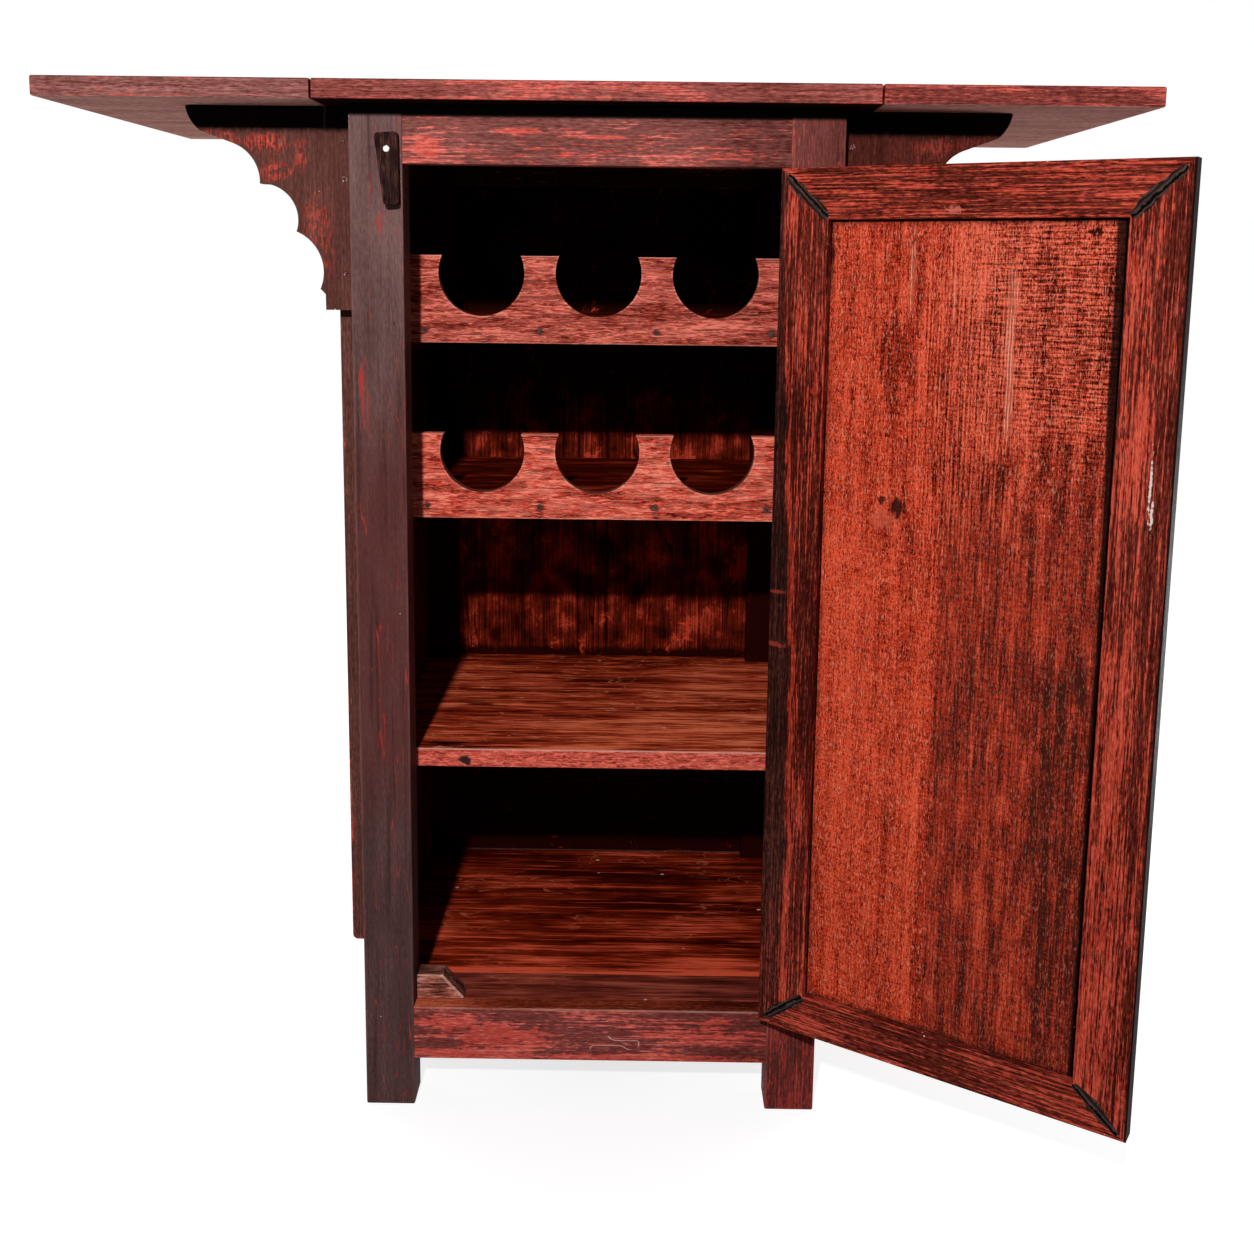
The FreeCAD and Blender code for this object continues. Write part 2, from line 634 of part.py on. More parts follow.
knob_x = -door_half + door_stile_width / 2
cap_sphere = (knob_cap_radius ** 2 + knob_cap_rise ** 2) / (2 * knob_cap_rise)
cap_middle = math.sqrt(cap_sphere ** 2 - (knob_cap_radius / 2) ** 2) - cap_sphere
tenon_end = Vector(knob_tenon_radius, knob_tenon_length, 0)
tenon_root = Vector(knob_tenon_radius, 0, 0)
knob_foot = Vector(knob_foot_radius, 0, 0)
knob_waist_end = Vector(knob_neck_radius, -knob_waist, 0)
knob_cap_edge = Vector(knob_cap_radius, knob_cap_rise - knob_length, 0)
knob_tip = Vector(0, -knob_length, 0)
knob_profile = [
    Part.LineSegment(Vector(0, knob_tenon_length, 0), tenon_end),
    Part.LineSegment(tenon_end, tenon_root),
    Part.LineSegment(tenon_root, knob_foot),
    Part.Arc(knob_foot, Vector(knob_neck_radius, -knob_waist / 2, 0), knob_waist_end),
    Part.Arc(knob_waist_end, Vector(knob_head_radius, -knob_belly, 0), knob_cap_edge),
    Part.Arc(knob_cap_edge, Vector(knob_cap_radius / 2, -cap_middle - knob_length, 0), knob_tip),
    Part.LineSegment(knob_tip, Vector(0, knob_tenon_length, 0)),
]
knob = Part.Face(Part.Wire([edge.toShape() for edge in knob_profile])).revolve(Vector(0, 0, 0), Y, 360)
knob.translate(Vector(knob_x, 0, knob_height))
knob_hole = rod(Vector(knob_x, 0, knob_height), Y, knob_tenon_radius + joint_play,
                knob_tenon_length + joint_play)

door_fixed, door_moving, door_pin = butt_hinge(door_hinge_length, 0)
door_plates = [placed(door_moving, base, Y, -X) for base in door_hinge_bases]
save("door_hinge_leg_plates", *[placed(door_fixed, base, Y, -X) for base in door_hinge_bases])
save("door_hinge_pins", *[placed(door_pin, base, Y, -X) for base in door_hinge_bases])


def swung(shape):
    """Piece of the closed door turned about the hinge axis to where the door stands open."""
    moved = shape.copy()
    moved.rotate(door_axis, Z, door_open_angle)
    return moved


door_frame = {}
for index, member in enumerate(("door_bottom_rail", "door_hinge_stile", "door_top_rail", "door_free_stile")):
    following = (index + 1) % 4
    outline = [outer_corners[index], outer_corners[following], inner_corners[following], inner_corners[index]]
    along = X if member.endswith("rail") else Z
    door_frame[member] = eased(prism(outline, 0, door_thickness), edge_round, along).cut(door_groove)
door_frame["door_hinge_stile"] = door_frame["door_hinge_stile"].cut(door_hinge_rooms)
door_frame["door_free_stile"] = door_frame["door_free_stile"].cut(knob_hole)
for member, solid in door_frame.items():
    save(member, swung(solid))
save("door_panel", swung(door_panel))
save("door_knob", swung(knob))
save("door_hinge_door_plates", *[swung(plate) for plate in door_plates])

# Turn button: tapered, rounded, hanging from its screw with a slight tilt
button_top_z = pivot.z + button_above_pivot
button_bottom_z = button_top_z - button_length
button_outline = [
    (pivot.x - button_top_width / 2, button_top_z),
    (pivot.x + button_top_width / 2, button_top_z),
    (pivot.x + button_bottom_width / 2, button_bottom_z),
    (pivot.x - button_bottom_width / 2, button_bottom_z),
]
button = eased(prism(button_outline, button_front_y, -running_gap), button_corner_round, Y)
front_rim = [edge for edge in button.Edges if abs(edge.CenterOfMass.y - button_front_y) < joint_play]
button = button.makeFillet(edge_round, front_rim)
button_bore = rod(pivot + Vector(0, button_front_y, 0), Y, button_screw_radius + pin_play, button_thickness)
button = button.cut(button_bore)
button.rotate(pivot, Y, -button_rest_tilt)
save("turn_button", button)

print("origin_y", origin_y)
print("door axis", door_axis.x, door_axis.y - origin_y)
print("seam axis", seam_x, overall_height + plate_offset)
print("gate axis", gate_axis.x, gate_axis.y - origin_y)
print("button pivot", pivot.x, -origin_y, pivot.z)
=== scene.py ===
import bpy
import json
import math
import numpy as np
from mathutils import Matrix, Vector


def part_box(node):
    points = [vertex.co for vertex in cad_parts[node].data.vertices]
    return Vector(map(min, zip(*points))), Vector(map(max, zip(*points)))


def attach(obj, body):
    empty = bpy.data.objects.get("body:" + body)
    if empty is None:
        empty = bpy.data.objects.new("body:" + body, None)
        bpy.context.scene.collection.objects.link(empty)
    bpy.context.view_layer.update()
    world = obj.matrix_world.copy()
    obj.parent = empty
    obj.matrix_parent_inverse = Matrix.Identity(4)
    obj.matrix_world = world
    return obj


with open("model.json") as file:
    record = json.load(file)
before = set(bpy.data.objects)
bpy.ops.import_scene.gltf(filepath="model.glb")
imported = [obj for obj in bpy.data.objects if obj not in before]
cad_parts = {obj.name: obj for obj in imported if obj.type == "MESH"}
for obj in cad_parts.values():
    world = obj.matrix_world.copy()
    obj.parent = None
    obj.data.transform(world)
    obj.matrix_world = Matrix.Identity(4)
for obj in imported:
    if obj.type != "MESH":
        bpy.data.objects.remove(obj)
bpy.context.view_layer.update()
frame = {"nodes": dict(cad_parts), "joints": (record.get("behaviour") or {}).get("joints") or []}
nodes = frame["nodes"]

# Legs
# Four square softwood posts with rounded arrises, mortised for the rails. Their dark lacquer has gone grey towards
# the top, and is rubbed through to the red wood in thin lines along the grain, with pale chips on the arrises.


def seen(red, green, blue):
    """Linear colour of a paint that looks like these screen levels, from 0 to 255."""
    level = np.array([red, green, blue]) / 255.0
    linear = np.where(level <= 0.04045, level / 12.92, ((level + 0.055) / 1.055) ** 2.4)
    return (*linear.tolist(), 1.0)


class Field:
    """A number at each point of a piece, made by a shader node. Arithmetic on fields adds Math nodes."""

    def __init__(self, recipe, socket):
        self.recipe = recipe
        self.socket = socket

    def __add__(self, other):
        return self.recipe.math("ADD", self, other)

    def __sub__(self, other):
        return self.recipe.math("SUBTRACT", self, other)

    def __rsub__(self, other):
        return self.recipe.math("SUBTRACT", other, self)

    def __mul__(self, other):
        return self.recipe.math("MULTIPLY", self, other)

    def __abs__(self):
        return self.recipe.math("ABSOLUTE", self)

    __radd__ = __add__
    __rmul__ = __mul__

    def rising(self, low, high):
        """Smooth step from 0 at low to 1 at high; low may be the larger of the two."""
        made = self.recipe.node("MapRange", {"interpolation_type": "SMOOTHSTEP"},
                                {"Value": self, "From Min": low, "From Max": high})
        return Field(self.recipe, made.outputs["Result"])


class Recipe:
    """The shader nodes of one finish or of the surround."""

    def __init__(self, tree):
        self.tree = tree

    def node(self, kind, settings=None, inputs=None):
        """New shader node of a kind, with its settings, its inputs fed by fields, sockets or plain values."""
        made = self.tree.nodes.new("ShaderNode" + kind)
        for name, value in (settings or {}).items():
            setattr(made, name, value)
        for name, value in (inputs or {}).items():
            self.feed(made.inputs[name], value)
        return made

    def feed(self, socket, value):
        """Link a field or a socket to an input, or set the input to a plain value."""
        source = value.socket if isinstance(value, Field) else value
        if isinstance(source, bpy.types.NodeSocket):
            self.tree.links.new(source, socket)
        else:
            socket.default_value = source

    def math(self, operation, *values):
        """Field of a Math node's operation on fields and plain numbers."""
        return Field(self, self.node("Math", {"operation": operation}, dict(enumerate(values))).outputs[0])


class Finish(Recipe):
    """The surface of one piece: fields over its own length and width, then colour, roughness and relief.

    grain is the axis that the wood runs along. The piece's own frame has its origin at pivot and is turned about Z
    by turn, so that the grain follows the boards of a door that stands open. colour holds the coats laid so far."""

    def __init__(self, piece, grain="z", turn=0.0, pivot=(0.0, 0.0, 0.0)):
        material = bpy.data.materials.new(piece.name + "_finish")
        material.use_nodes = True
        super().__init__(material.node_tree)
        self.shader = self.tree.nodes["Principled BSDF"]
        self.colour = None
        self.grain = "xyz".index(grain)
        self.turn = turn
        self.pivot = np.array(pivot)
        self.coordinates = self.node("TexCoord").outputs["Object"]
        points = np.empty(3 * len(piece.data.vertices))
        piece.data.vertices.foreach_get("co", points)
        own = (points.reshape(-1, 3) - self.pivot) @ self.axes()
        self.low, self.high = own.min(axis=0).tolist(), own.max(axis=0).tolist()
        place = self.node("SeparateXYZ", {}, {"Vector": self.placed((1.0, 1.0, 1.0))})
        self.x, self.y, self.z = [Field(self, socket) for socket in place.outputs]
        if piece.material_slots:
            piece.material_slots[0].material = material
        else:
            piece.data.materials.append(material)

    def axes(self):
        """The piece's own x, y and z directions, as columns."""
        c, s = math.cos(self.turn), math.sin(self.turn)
        return np.array([[c, -s, 0.0], [s, c, 0.0], [0.0, 0.0, 1.0]])

    def placed(self, size, centre=(0.0, 0.0, 0.0)):
        """Vector of the piece's own coordinates about a centre, in steps of a size along each axis."""
        location = self.pivot + self.axes() @ np.array(centre)
        return self.node("Mapping", {"vector_type": "TEXTURE"},
                         {"Vector": self.coordinates, "Location": location.tolist(),
                          "Rotation": (0.0, 0.0, self.turn), "Scale": size}).outputs["Vector"]

    def noise(self, size, detail=2.0, rough=0.55, warp=0.0, centre=(0.0, 0.0, 0.0)):
        """Smooth random field about 0, whose features have a size along each axis."""
        made = self.node("TexNoise", {}, {"Vector": self.placed(size, centre), "Scale": 1.0, "Detail": detail,
                                          "Roughness": rough, "Distortion": warp})
        return self.math("MULTIPLY_ADD", made.outputs["Fac"], 1.8, -0.9)

    def streaks(self, width, length, **kind):
        """Random field drawn out along the grain."""
        size = [width] * 3
        size[self.grain] = length
        return self.noise(size, **kind)

    def flecks(self, spacing, radius, share, stretch=1.0):
        """1 inside small chips: cells of a spacing along each axis, of which about a share holds a chip."""
        size = [spacing] * 3
        size[self.grain] = spacing * stretch
        cells = self.node("TexVoronoi", {}, {"Vector": self.placed(size), "Scale": 1.0})
        near = Field(self, cells.outputs["Distance"]).rising(radius / spacing, 0.6 * radius / spacing)
        return near * self.math("GREATER_THAN", cells.outputs["Color"], 1.0 - share)

    def distance(self, centre, radii):
        """Distance from a point of the piece, counted in radii along each axis."""
        steps = self.node("VectorMath", {"operation": "LENGTH"}, {0: self.placed(radii, centre)})
        return Field(self, steps.outputs["Value"])

    def spot(self, centre, radii, ragged=0.0):
        """1 in the middle of an ellipsoid about a point of the piece, 0 from its rim; a ragged field roughens it."""
        return (self.distance(centre, radii) + ragged).rising(1.0, 0.45)

    def marks(self, places, face, depth, ragged):
        """Sum of spots on a face, each given by x, z, half its width, half its height and its strength."""
        total = 0.0
        for x, z, half_width, half_height, strength in places:
            total = total + strength * self.spot((x, face, z), (half_width, depth, half_height), ragged)
        return total

    def arris(self, width):
        """1 on the piece's arrises, 0 from a width away: the second smallest of the distances to its sides."""
        a, b, c = [(high - low) / 2 - abs(field - (high + low) / 2)
                   for field, low, high in zip((self.x, self.y, self.z), self.low, self.high)]
        second = self.math("MAXIMUM", self.math("MINIMUM", a, b),
                           self.math("MINIMUM", self.math("MAXIMUM", a, b), c))
        return second.rising(width, 0.0)

    def rubbed(self, width, share, across, along):
        """About a share on the arrises, more and less in streaks of a size, and 0 on the faces."""
        return self.arris(width) * (share + self.streaks(across, along))

    def line(self, field, half):
        """1 along the lines where a field is 0, fading to 0 where it is half away."""
        return abs(field).rising(half, 0.3 * half)

    def wave(self, field, period, wobble):
        """Even ripple between -1 and 1 along a field, shifted by a wobble that is counted in periods."""
        return self.math("SINE", (2 * math.pi / period) * field + 2 * math.pi * wobble)

    def ramp(self, field, dark, middle, light):
        """Colour that goes from dark through middle to light as a field goes from 0.1 through 0.5 to 0.9."""
        made = self.node("ValToRGB", {}, {"Fac": field})
        first, last = made.color_ramp.elements
        first.position, first.color = 0.1, seen(*dark)
        last.position, last.color = 0.9, seen(*light)
        made.color_ramp.elements.new(0.5).color = seen(*middle)
        return made.outputs["Color"]

    def mix(self, under, over, share):
        """Colour that goes from one to the other by a field; a plain colour is given as screen levels."""
        over = seen(*over) if isinstance(over, tuple) else over
        return self.node("Mix", {"data_type": "RGBA"}, {0: share, 6: under, 7: over}).outputs[2]

    def tint(self, over, share):
        """Lay a colour over the coats so far, by a field."""
        self.colour = self.mix(self.colour, over, share)

    def lay(self, relief, rough=0.5, depth=0.0003, gloss=0.01):
        """Give the piece its colour, and roughness and relief that go with one field about a half."""
        self.feed(self.shader.inputs["Base Color"], self.colour)
        self.feed(self.shader.inputs["Roughness"], (rough + 0.1) - 0.2 * relief)
        self.shader.inputs["Specular IOR Level"].default_value = gloss
        bump = self.node("Bump", {}, {"Strength": 0.7, "Distance": depth, "Height": relief})
        self.feed(self.shader.inputs["Normal"], bump.outputs["Normal"])


def old_lacquer(finish, lacquer, red, worn, shade=0.0, bold=1.0, cloudy=0.8):
    """Colour and tone of dark lacquer over red wood: both have a dark, a middle and a light colour.

    tone = 1/2 + fibres + mottle + runs + clouds + shade, and the red shows where dashes + runs + clouds + worn rise
    past 0. bold is the weight of the grain and cloudy that of the clouds in the red. Pale chips lie along the
    arrises, and small ones and pits on the faces."""
    fibres = finish.streaks(0.0009, 0.012, rough=0.6)
    mottle = finish.streaks(0.0020, 0.007, detail=3.0, rough=0.65)
    dashes = finish.streaks(0.0012, 0.022)
    runs = finish.streaks(0.0022, 0.10, detail=3.0, warp=0.3)
    clouds = finish.streaks(0.03, 0.12)
    tone = 0.5 + 0.7 * bold * fibres + (0.1 + 0.6 * bold) * mottle + 0.5 * bold * runs + 0.3 * clouds + shade
    bare = (0.7 * dashes + 0.4 * mottle + bold * runs + cloudy * clouds + worn).rising(0.0, 0.1)
    colour = finish.mix(finish.ramp(tone, *lacquer), finish.ramp(tone, *red), bare)
    colour = finish.mix(colour, (24, 12, 11), 0.8 * finish.flecks(0.017, 0.0009, 0.3, stretch=1.5))
    chips = finish.flecks(0.012, 0.001, 0.35) * finish.arris(0.004) + finish.flecks(0.021, 0.0008, 0.3)
    return finish.mix(colour, (230, 196, 184), chips), tone


def on_carcass(node, grain="z"):
    """Finish of a CAD piece whose own frame starts on the floor under the front of the legs."""
    return Finish(nodes[node], grain, pivot=(0.0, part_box("left_front_leg")[0].y, 0.0))


leg_red = ((104, 30, 26), (146, 50, 44), (196, 92, 82))
grey_lacquer = ((46, 32, 32), (92, 65, 63), (134, 102, 98))
right_lacquer = ((56, 22, 20), (98, 47, 43), (134, 74, 69))
stain = ((36, 5, 2), (100, 25, 11), (196, 66, 45))
# painted shadow: a near-black band under the top's overhang, on the front legs and the front top rail from this
# height up, and on the gate brackets under the leaves
painted_shadow_black, overhang_shadow_edge = (12, 6, 5), 1.034
for node, lacquer, worn, reddened in (("left_front_leg", grey_lacquer, -0.5, 0.1),
                                      ("right_front_leg", right_lacquer, -0.32, 0.5),
                                      ("left_rear_leg", grey_lacquer, -0.45, 0.1),
                                      ("right_rear_leg", grey_lacquer, -0.45, 0.1)):
    leg = on_carcass(node)
    rubbed = leg.rubbed(0.003, 0.5, 0.008, 0.05)
    foot = leg.z.rising(0.13, 0.08)
    shade = 0.24 * leg.z.rising(0.55, 1.0) - 0.08 + 0.2 * reddened * foot
    leg.colour, tone = old_lacquer(leg, lacquer, leg_red, worn + 0.25 * rubbed + reddened * foot, shade,
                                   bold=0.23 + 0.7 * reddened)
    red_middle = leg.z.rising(0.28, 0.42) * leg.z.rising(0.82, 0.66)
    leg.tint((106, 38, 34), 0.35 * red_middle)
    drips = leg.streaks(0.006, 0.2, detail=3.0).rising(0.08, 0.3)
    leg.tint((40, 24, 24), 0.45 * drips)
    scratched = leg.streaks(0.014, 0.06).rising(0.0, 0.25)
    hairs = leg.line(leg.streaks(0.011, 0.16, warp=0.3), 0.022) * scratched
    leg.tint((176, 58, 50), 0.9 * hairs)
    leg.tint((164, 116, 109), 0.5 * rubbed)
    if node.endswith("front_leg"):
        # painted shadow under the top's overhang
        leg.tint(painted_shadow_black, leg.z.rising(overhang_shadow_edge, overhang_shadow_edge + 0.004))
    else:
        inside = leg.y.rising(0.4105, 0.409) * abs(leg.x).rising(0.2385, 0.237)
        leg.tint(leg.ramp(tone - 0.4, *stain), inside)
    leg.lay(tone)

# Rails
# Eight softwood rails, tenoned into the legs at the top and the bottom of each side. The front ones are redder than
# the legs: thin dashes along the grain where the lacquer has gone, and red smears where a hand rubs.
rail_lacquer = ((80, 35, 31), (132, 74, 68), (170, 106, 99))
rail_red = ((144, 46, 39), (202, 82, 71), (246, 132, 118))
low_lacquer = ((82, 35, 31), (128, 61, 56), (170, 98, 90))
side_lacquer = ((58, 29, 26), (90, 48, 43), (124, 76, 69))
worn_upper_edge = ((66, 18, 9), (150, 60, 38), (226, 120, 86))
top_smears = ((-0.163, 1.006, 0.018, 0.013, 0.6), (-0.075, 1.024, 0.03, 0.006, 0.35),
              (0.0, 1.012, 0.08, 0.016, 0.25), (-0.09, 1.0, 0.07, 0.01, 0.2))
bottom_smears = ((-0.10, 0.080, 0.07, 0.016, 0.7), (-0.135, 0.058, 0.07, 0.008, 0.7),
                 (0.107, 0.089, 0.08, 0.016, 0.25), (0.02, 0.056, 0.2, 0.007, 0.55),
                 (-0.155, 0.095, 0.05, 0.012, 0.5))
rails = [("front_top_rail", "x", rail_lacquer, -0.24, top_smears),
         ("front_bottom_rail", "x", low_lacquer, -0.16, bottom_smears)]
for side, grain, worn in (("rear", "x", -0.4), ("left", "y", -0.38), ("right", "y", -0.38)):
    rails += [(f"{side}_{place}_rail", grain, side_lacquer, worn, ()) for place in ("top", "bottom")]
for node, grain, lacquer, worn, smears in rails:
    rail = on_carcass(node, grain)
    smeared = rail.marks(smears, 0.0, 0.2, rail.streaks(0.006, 0.02))
    bare = worn + 0.25 * rail.rubbed(0.0025, 0.5, 0.008, 0.05) + smeared
    shade = -0.2 * rail.x.rising(0.08, 0.15) if node.startswith("front") else 0.0
    rail.colour, tone = old_lacquer(rail, lacquer, rail_red, bare, shade, bold=0.7)
    if node == "front_bottom_rail":
        curl = rail.noise((0.022, 0.2, 0.012), detail=0.0, centre=(0.03, 0.0, 0.071))
        scratch = rail.spot((0.022, 0.0, 0.073), (0.036, 0.2, 0.010))
        rail.tint((234, 178, 162), rail.line(curl, 0.035) * scratch.rising(0.0, 0.3))
        rim = rail.high[2]
        upper_edge = rail.ramp(tone - 0.15 + 0.35 * rail.x.rising(-0.06, -0.16), *worn_upper_edge)
        rail.tint(upper_edge, rail.z.rising(rim - 0.0014, rim - 0.0006))
        hairline = rail.z.rising(rim - 0.0024, rim - 0.0014) * rail.y.rising(0.003, 0.0018)
        rail.tint((186, 134, 122), hairline * (0.45 + rail.streaks(0.01, 0.06)))
    elif node == "front_top_rail":
        # painted shadow under the top's overhang
        rail.tint(painted_shadow_black, rail.z.rising(overhang_shadow_edge, overhang_shadow_edge + 0.003))
    rail.lay(tone)

# Walls
# Two side panels of wide boards, flush with the legs outside, and three lapped back planks, all held by tongues.
# Outside they are lacquered dark; the inside is a thin orange-brown stain, with saw marks and dirt in the seams.
for node in ("left_side_panel", "right_side_panel"):
    board = on_carcass(node)
    board.colour, tone = old_lacquer(board, side_lacquer, leg_red, -0.4)
    board.tint(board.ramp(tone - 0.25, *stain), abs(board.x).rising(0.232, 0.230))
    board.lay(tone)
for node in ("left_back_board", "middle_back_board", "right_back_board"):
    board = on_carcass(node)
    saw = board.noise((0.0022, 0.05, 0.10), detail=3.0)
    patches = board.noise((0.04, 0.05, 0.05), detail=5.0, rough=0.65)
    cracks = board.line(board.noise((0.03, 0.05, 0.4), detail=1.0), 0.012)
    scratches = board.line(board.noise((0.03, 0.05, 0.03), warp=1.0), 0.03) * patches.rising(0.0, 0.2)
    to_seam = board.math("MINIMUM", board.x - board.low[0], board.high[0] - board.x)
    # painted shade: the back planks' stain is darkened from about 0.75 m up and under the plain shelf, where the key
    # lamp's light does not reach
    painted_bay_shade = 1.2 * board.z.rising(0.72, 0.77) + 1.6 * board.z.rising(0.40, 0.384)
    dirt = 0.5 * to_seam.rising(0.005, 0.0)
    tone = 0.44 + 0.7 * saw + 1.3 * patches + 0.6 * scratches - 0.4 * cracks - dirt
    fibres = board.streaks(0.0013, 0.05, detail=3.0, rough=0.65)
    bare_wood = board.ramp(0.5 + 1.2 * fibres + 0.5 * patches - dirt - 0.3 * cracks,
                           (50, 23, 17), (100, 54, 42), (150, 98, 82))
    board.colour = board.ramp(tone - 0.5 * painted_bay_shade, *stain)
    board.tint(bare_wood, board.y.rising(0.411, 0.413))
    board.lay(tone)

# Deck
# Two boards on cleats, flush with the top of the bottom rail. The stain is orange-brown in bands along the grain,
# and worn bright just behind the seam and along the front edge, where bottles are slid in.
deck_cold = ((56, 20, 14), (118, 45, 34), (178, 84, 66))
deck_warm = ((58, 7, 1), (132, 35, 13), (240, 94, 64))
deck_seam = 0.076
for node, colours in (("front_deck_board", deck_cold), ("main_deck_board", deck_warm)):
    board = on_carcass(node, "x")
    fibres = board.streaks(0.003, 0.05, detail=4.0, rough=0.7)
    bands = board.streaks(0.016, 0.3, detail=3.0)
    clouds = board.noise((0.14, 0.09, 0.05), detail=3.0)
    behind_seam = (board.y.rising(deck_seam + 0.018, deck_seam + 0.006)
                   * board.y.rising(deck_seam - 0.002, deck_seam + 0.002))
    front_edge = board.y.rising(0.034, 0.024) * board.x.rising(-0.04, 0.02)
    tone = (0.56 + 0.8 * fibres + 0.9 * bands + 0.8 * clouds + 0.4 * behind_seam + 0.2 * front_edge
            - 0.32 * board.y.rising(0.09, 0.3))
    dashes = board.streaks(0.0045, 0.12, warp=0.2)
    scratches = board.line(board.noise((0.06, 0.02, 0.05), detail=1.0, warp=0.8), 0.02)
    board.colour = board.ramp(tone, *colours)
    board.tint(colours[0], 0.7 * dashes.rising(0.18, 0.26))
    board.tint(colours[2], 0.5 * dashes.rising(-0.22, -0.3))
    board.tint((230, 120, 84), 0.5 * scratches * clouds.rising(-0.05, 0.2))
    board.tint((236, 204, 186), board.flecks(0.024, 0.0020, 0.4, stretch=1.5))
    board.lay(tone)

# Cleats
# Square battens glued to the side panels and rails under the deck, the shelf and the racks. Plain stained softwood,
# rough from the saw.
for node in ("deck_cleats", "shelf_cleats", "rack_cleats"):
    cleats = on_carcass(node, "y")
    tone = 0.5 + cleats.streaks(0.0016, 0.03, detail=3.0) + 0.8 * cleats.streaks(0.02, 0.1)
    cleats.colour = cleats.ramp(tone, (34, 9, 5), (78, 24, 14), (124, 46, 30))
    cleats.lay(tone, rough=0.65)

# Plain shelf
# One wide board on cleats. Its top is streaked orange-brown, with a dark crack and knot near the front left; its
# front edge shows curly grain on a pinkish red, with a knot and a pale worn upper arris.
shelf = on_carcass("plain_shelf", "x")
shelf_front, shelf_level = shelf.low[1], shelf.high[2]
fibres = shelf.streaks(0.004, 0.05, detail=4.0, rough=0.7)
bands = shelf.streaks(0.018, 0.2, detail=3.0, warp=0.3)
clouds = shelf.noise((0.14, 0.09, 0.05), detail=3.0)
tone = 0.52 + 1.2 * fibres + bands + 0.7 * clouds - 0.14 * shelf.y.rising(0.25, 0.4)
shelf.colour = shelf.ramp(tone, (80, 15, 4), (178, 58, 30), (255, 128, 88))
dashes = shelf.streaks(0.0045, 0.10, warp=0.3)
shelf.tint((92, 22, 8), 0.7 * dashes.rising(0.18, 0.26))
shelf.tint((250, 112, 72), 0.6 * dashes.rising(-0.2, -0.28))
shelf.tint((246, 206, 186), shelf.flecks(0.026, 0.0016, 0.3, stretch=1.6))
scratches = shelf.line(shelf.noise((0.07, 0.024, 0.05), detail=1.0, warp=0.6), 0.025)
shelf.tint((250, 150, 112), 0.6 * scratches * fibres.rising(-0.1, 0.1))
curls = shelf.noise((0.010, 0.02, 0.003), detail=3.0, warp=1.2)
edge = shelf.ramp(0.55 + 1.2 * curls + 0.7 * shelf.streaks(0.0012, 0.03),
                  (112, 38, 30), (212, 86, 70), (244, 122, 104))
edge = shelf.mix(edge, (96, 36, 31), 0.6 * shelf.line(curls, 0.04))
knot = shelf.spot((-0.137, shelf_front, 0.3715), (0.010, 0.02, 0.006), 0.8 * curls)
edge = shelf.mix(edge, (52, 34, 33), knot)
shelf.tint(edge, shelf.y.rising(shelf_front + 0.0018, shelf_front + 0.0005))
for x, y, half_length, half_width in ((-0.155, 0.062, 0.032, 0.007), (-0.165, 0.066, 0.06, 0.003),
                                      (-0.138, 0.198, 0.03, 0.006)):
    crack = shelf.spot((x, y, shelf_level), (half_length, half_width, 0.004), 1.2 * fibres)
    shelf.tint((26, 6, 3), 0.85 * crack)
pale = (shelf.z.rising(shelf_level - 0.0018, shelf_level - 0.0004)
        * shelf.y.rising(shelf_front + 0.003, shelf_front + 0.0012))
shelf.tint((226, 168, 154), 0.7 * pale)
shelf.lay(tone)

# Bottle racks
# Each rack is a board with three round cut-outs for the necks of bottles, nailed to the front edge of a shelf on
# cleats. The boards are worn to a bright red with short dark dashes of grain, pale arrises and grimy cut edges.
cut_pitch, cut_radius, cut_drop = 0.1225, 0.045, 0.018
nail_rise, nail_end = 0.013, 0.1825
for node, colours in (("upper_bottle_cradle", ((80, 19, 11), (166, 63, 49), (240, 128, 110))),
                      ("lower_bottle_cradle", ((92, 20, 9), (216, 76, 58), (255, 144, 121)))):
    cradle = on_carcass(node, "x")
    front, base, top = cradle.low[1], cradle.low[2], cradle.high[2]
    face = cradle.y.rising(front + 0.0018, front + 0.0008)
    dashes = cradle.streaks(0.0018, 0.011, rough=0.6)
    lines = cradle.streaks(0.0026, 0.045, warp=0.4)
    bands = cradle.streaks(0.009, 0.06, detail=3.0, warp=0.5)
    tone = 0.56 + 1.4 * dashes + 0.9 * lines + bands
    cradle.colour = cradle.ramp(tone, *colours)
    cradle.tint((74, 21, 14), 0.75 * (lines + 0.5 * dashes).rising(0.17, 0.25))
    cradle.tint(colours[2], 0.5 * (lines + 0.6 * dashes).rising(-0.16, -0.24))
    for index in (-1, 0, 1):
        from_middle = cradle.distance((index * cut_pitch, 0.1, top - cut_drop), (cut_radius, 10.0, cut_radius))
        cradle.tint((92, 60, 51), 0.85 * from_middle.rising(1.02, 1.005) * (1.0 - face))
        worn = from_middle.rising(1.05, 1.02) * face * (bands + dashes).rising(-0.1, 0.15)
        cradle.tint((240, 160, 138), 0.45 * worn)
    for x in (-nail_end, -cut_pitch / 2, cut_pitch / 2, nail_end):
        halo = cradle.spot((x, front, base + nail_rise), (0.0062, 0.02, 0.0062), 0.8 * dashes)
        cradle.tint((64, 34, 30), 0.75 * halo)
    pale = face * (cradle.z.rising(top - 0.0016, top - 0.0006)
                   + 0.5 * cradle.z.rising(base + 0.0016, base + 0.0006))
    cradle.tint((236, 150, 130), 0.6 * pale)
    cradle.tint((246, 200, 182), cradle.flecks(0.013, 0.001, 0.3, stretch=2.0))
    cradle.lay(tone)
for node in ("upper_rack_shelf", "lower_rack_shelf"):
    board = on_carcass(node, "x")
    tone = 0.14 + 1.1 * board.streaks(0.004, 0.05, detail=4.0) + board.streaks(0.016, 0.1)
    board.colour = board.ramp(tone, *deck_warm)
    board.lay(tone)

# Nails
# Cut nails with round heads, driven flush through the rack boards. Dark rusted iron.


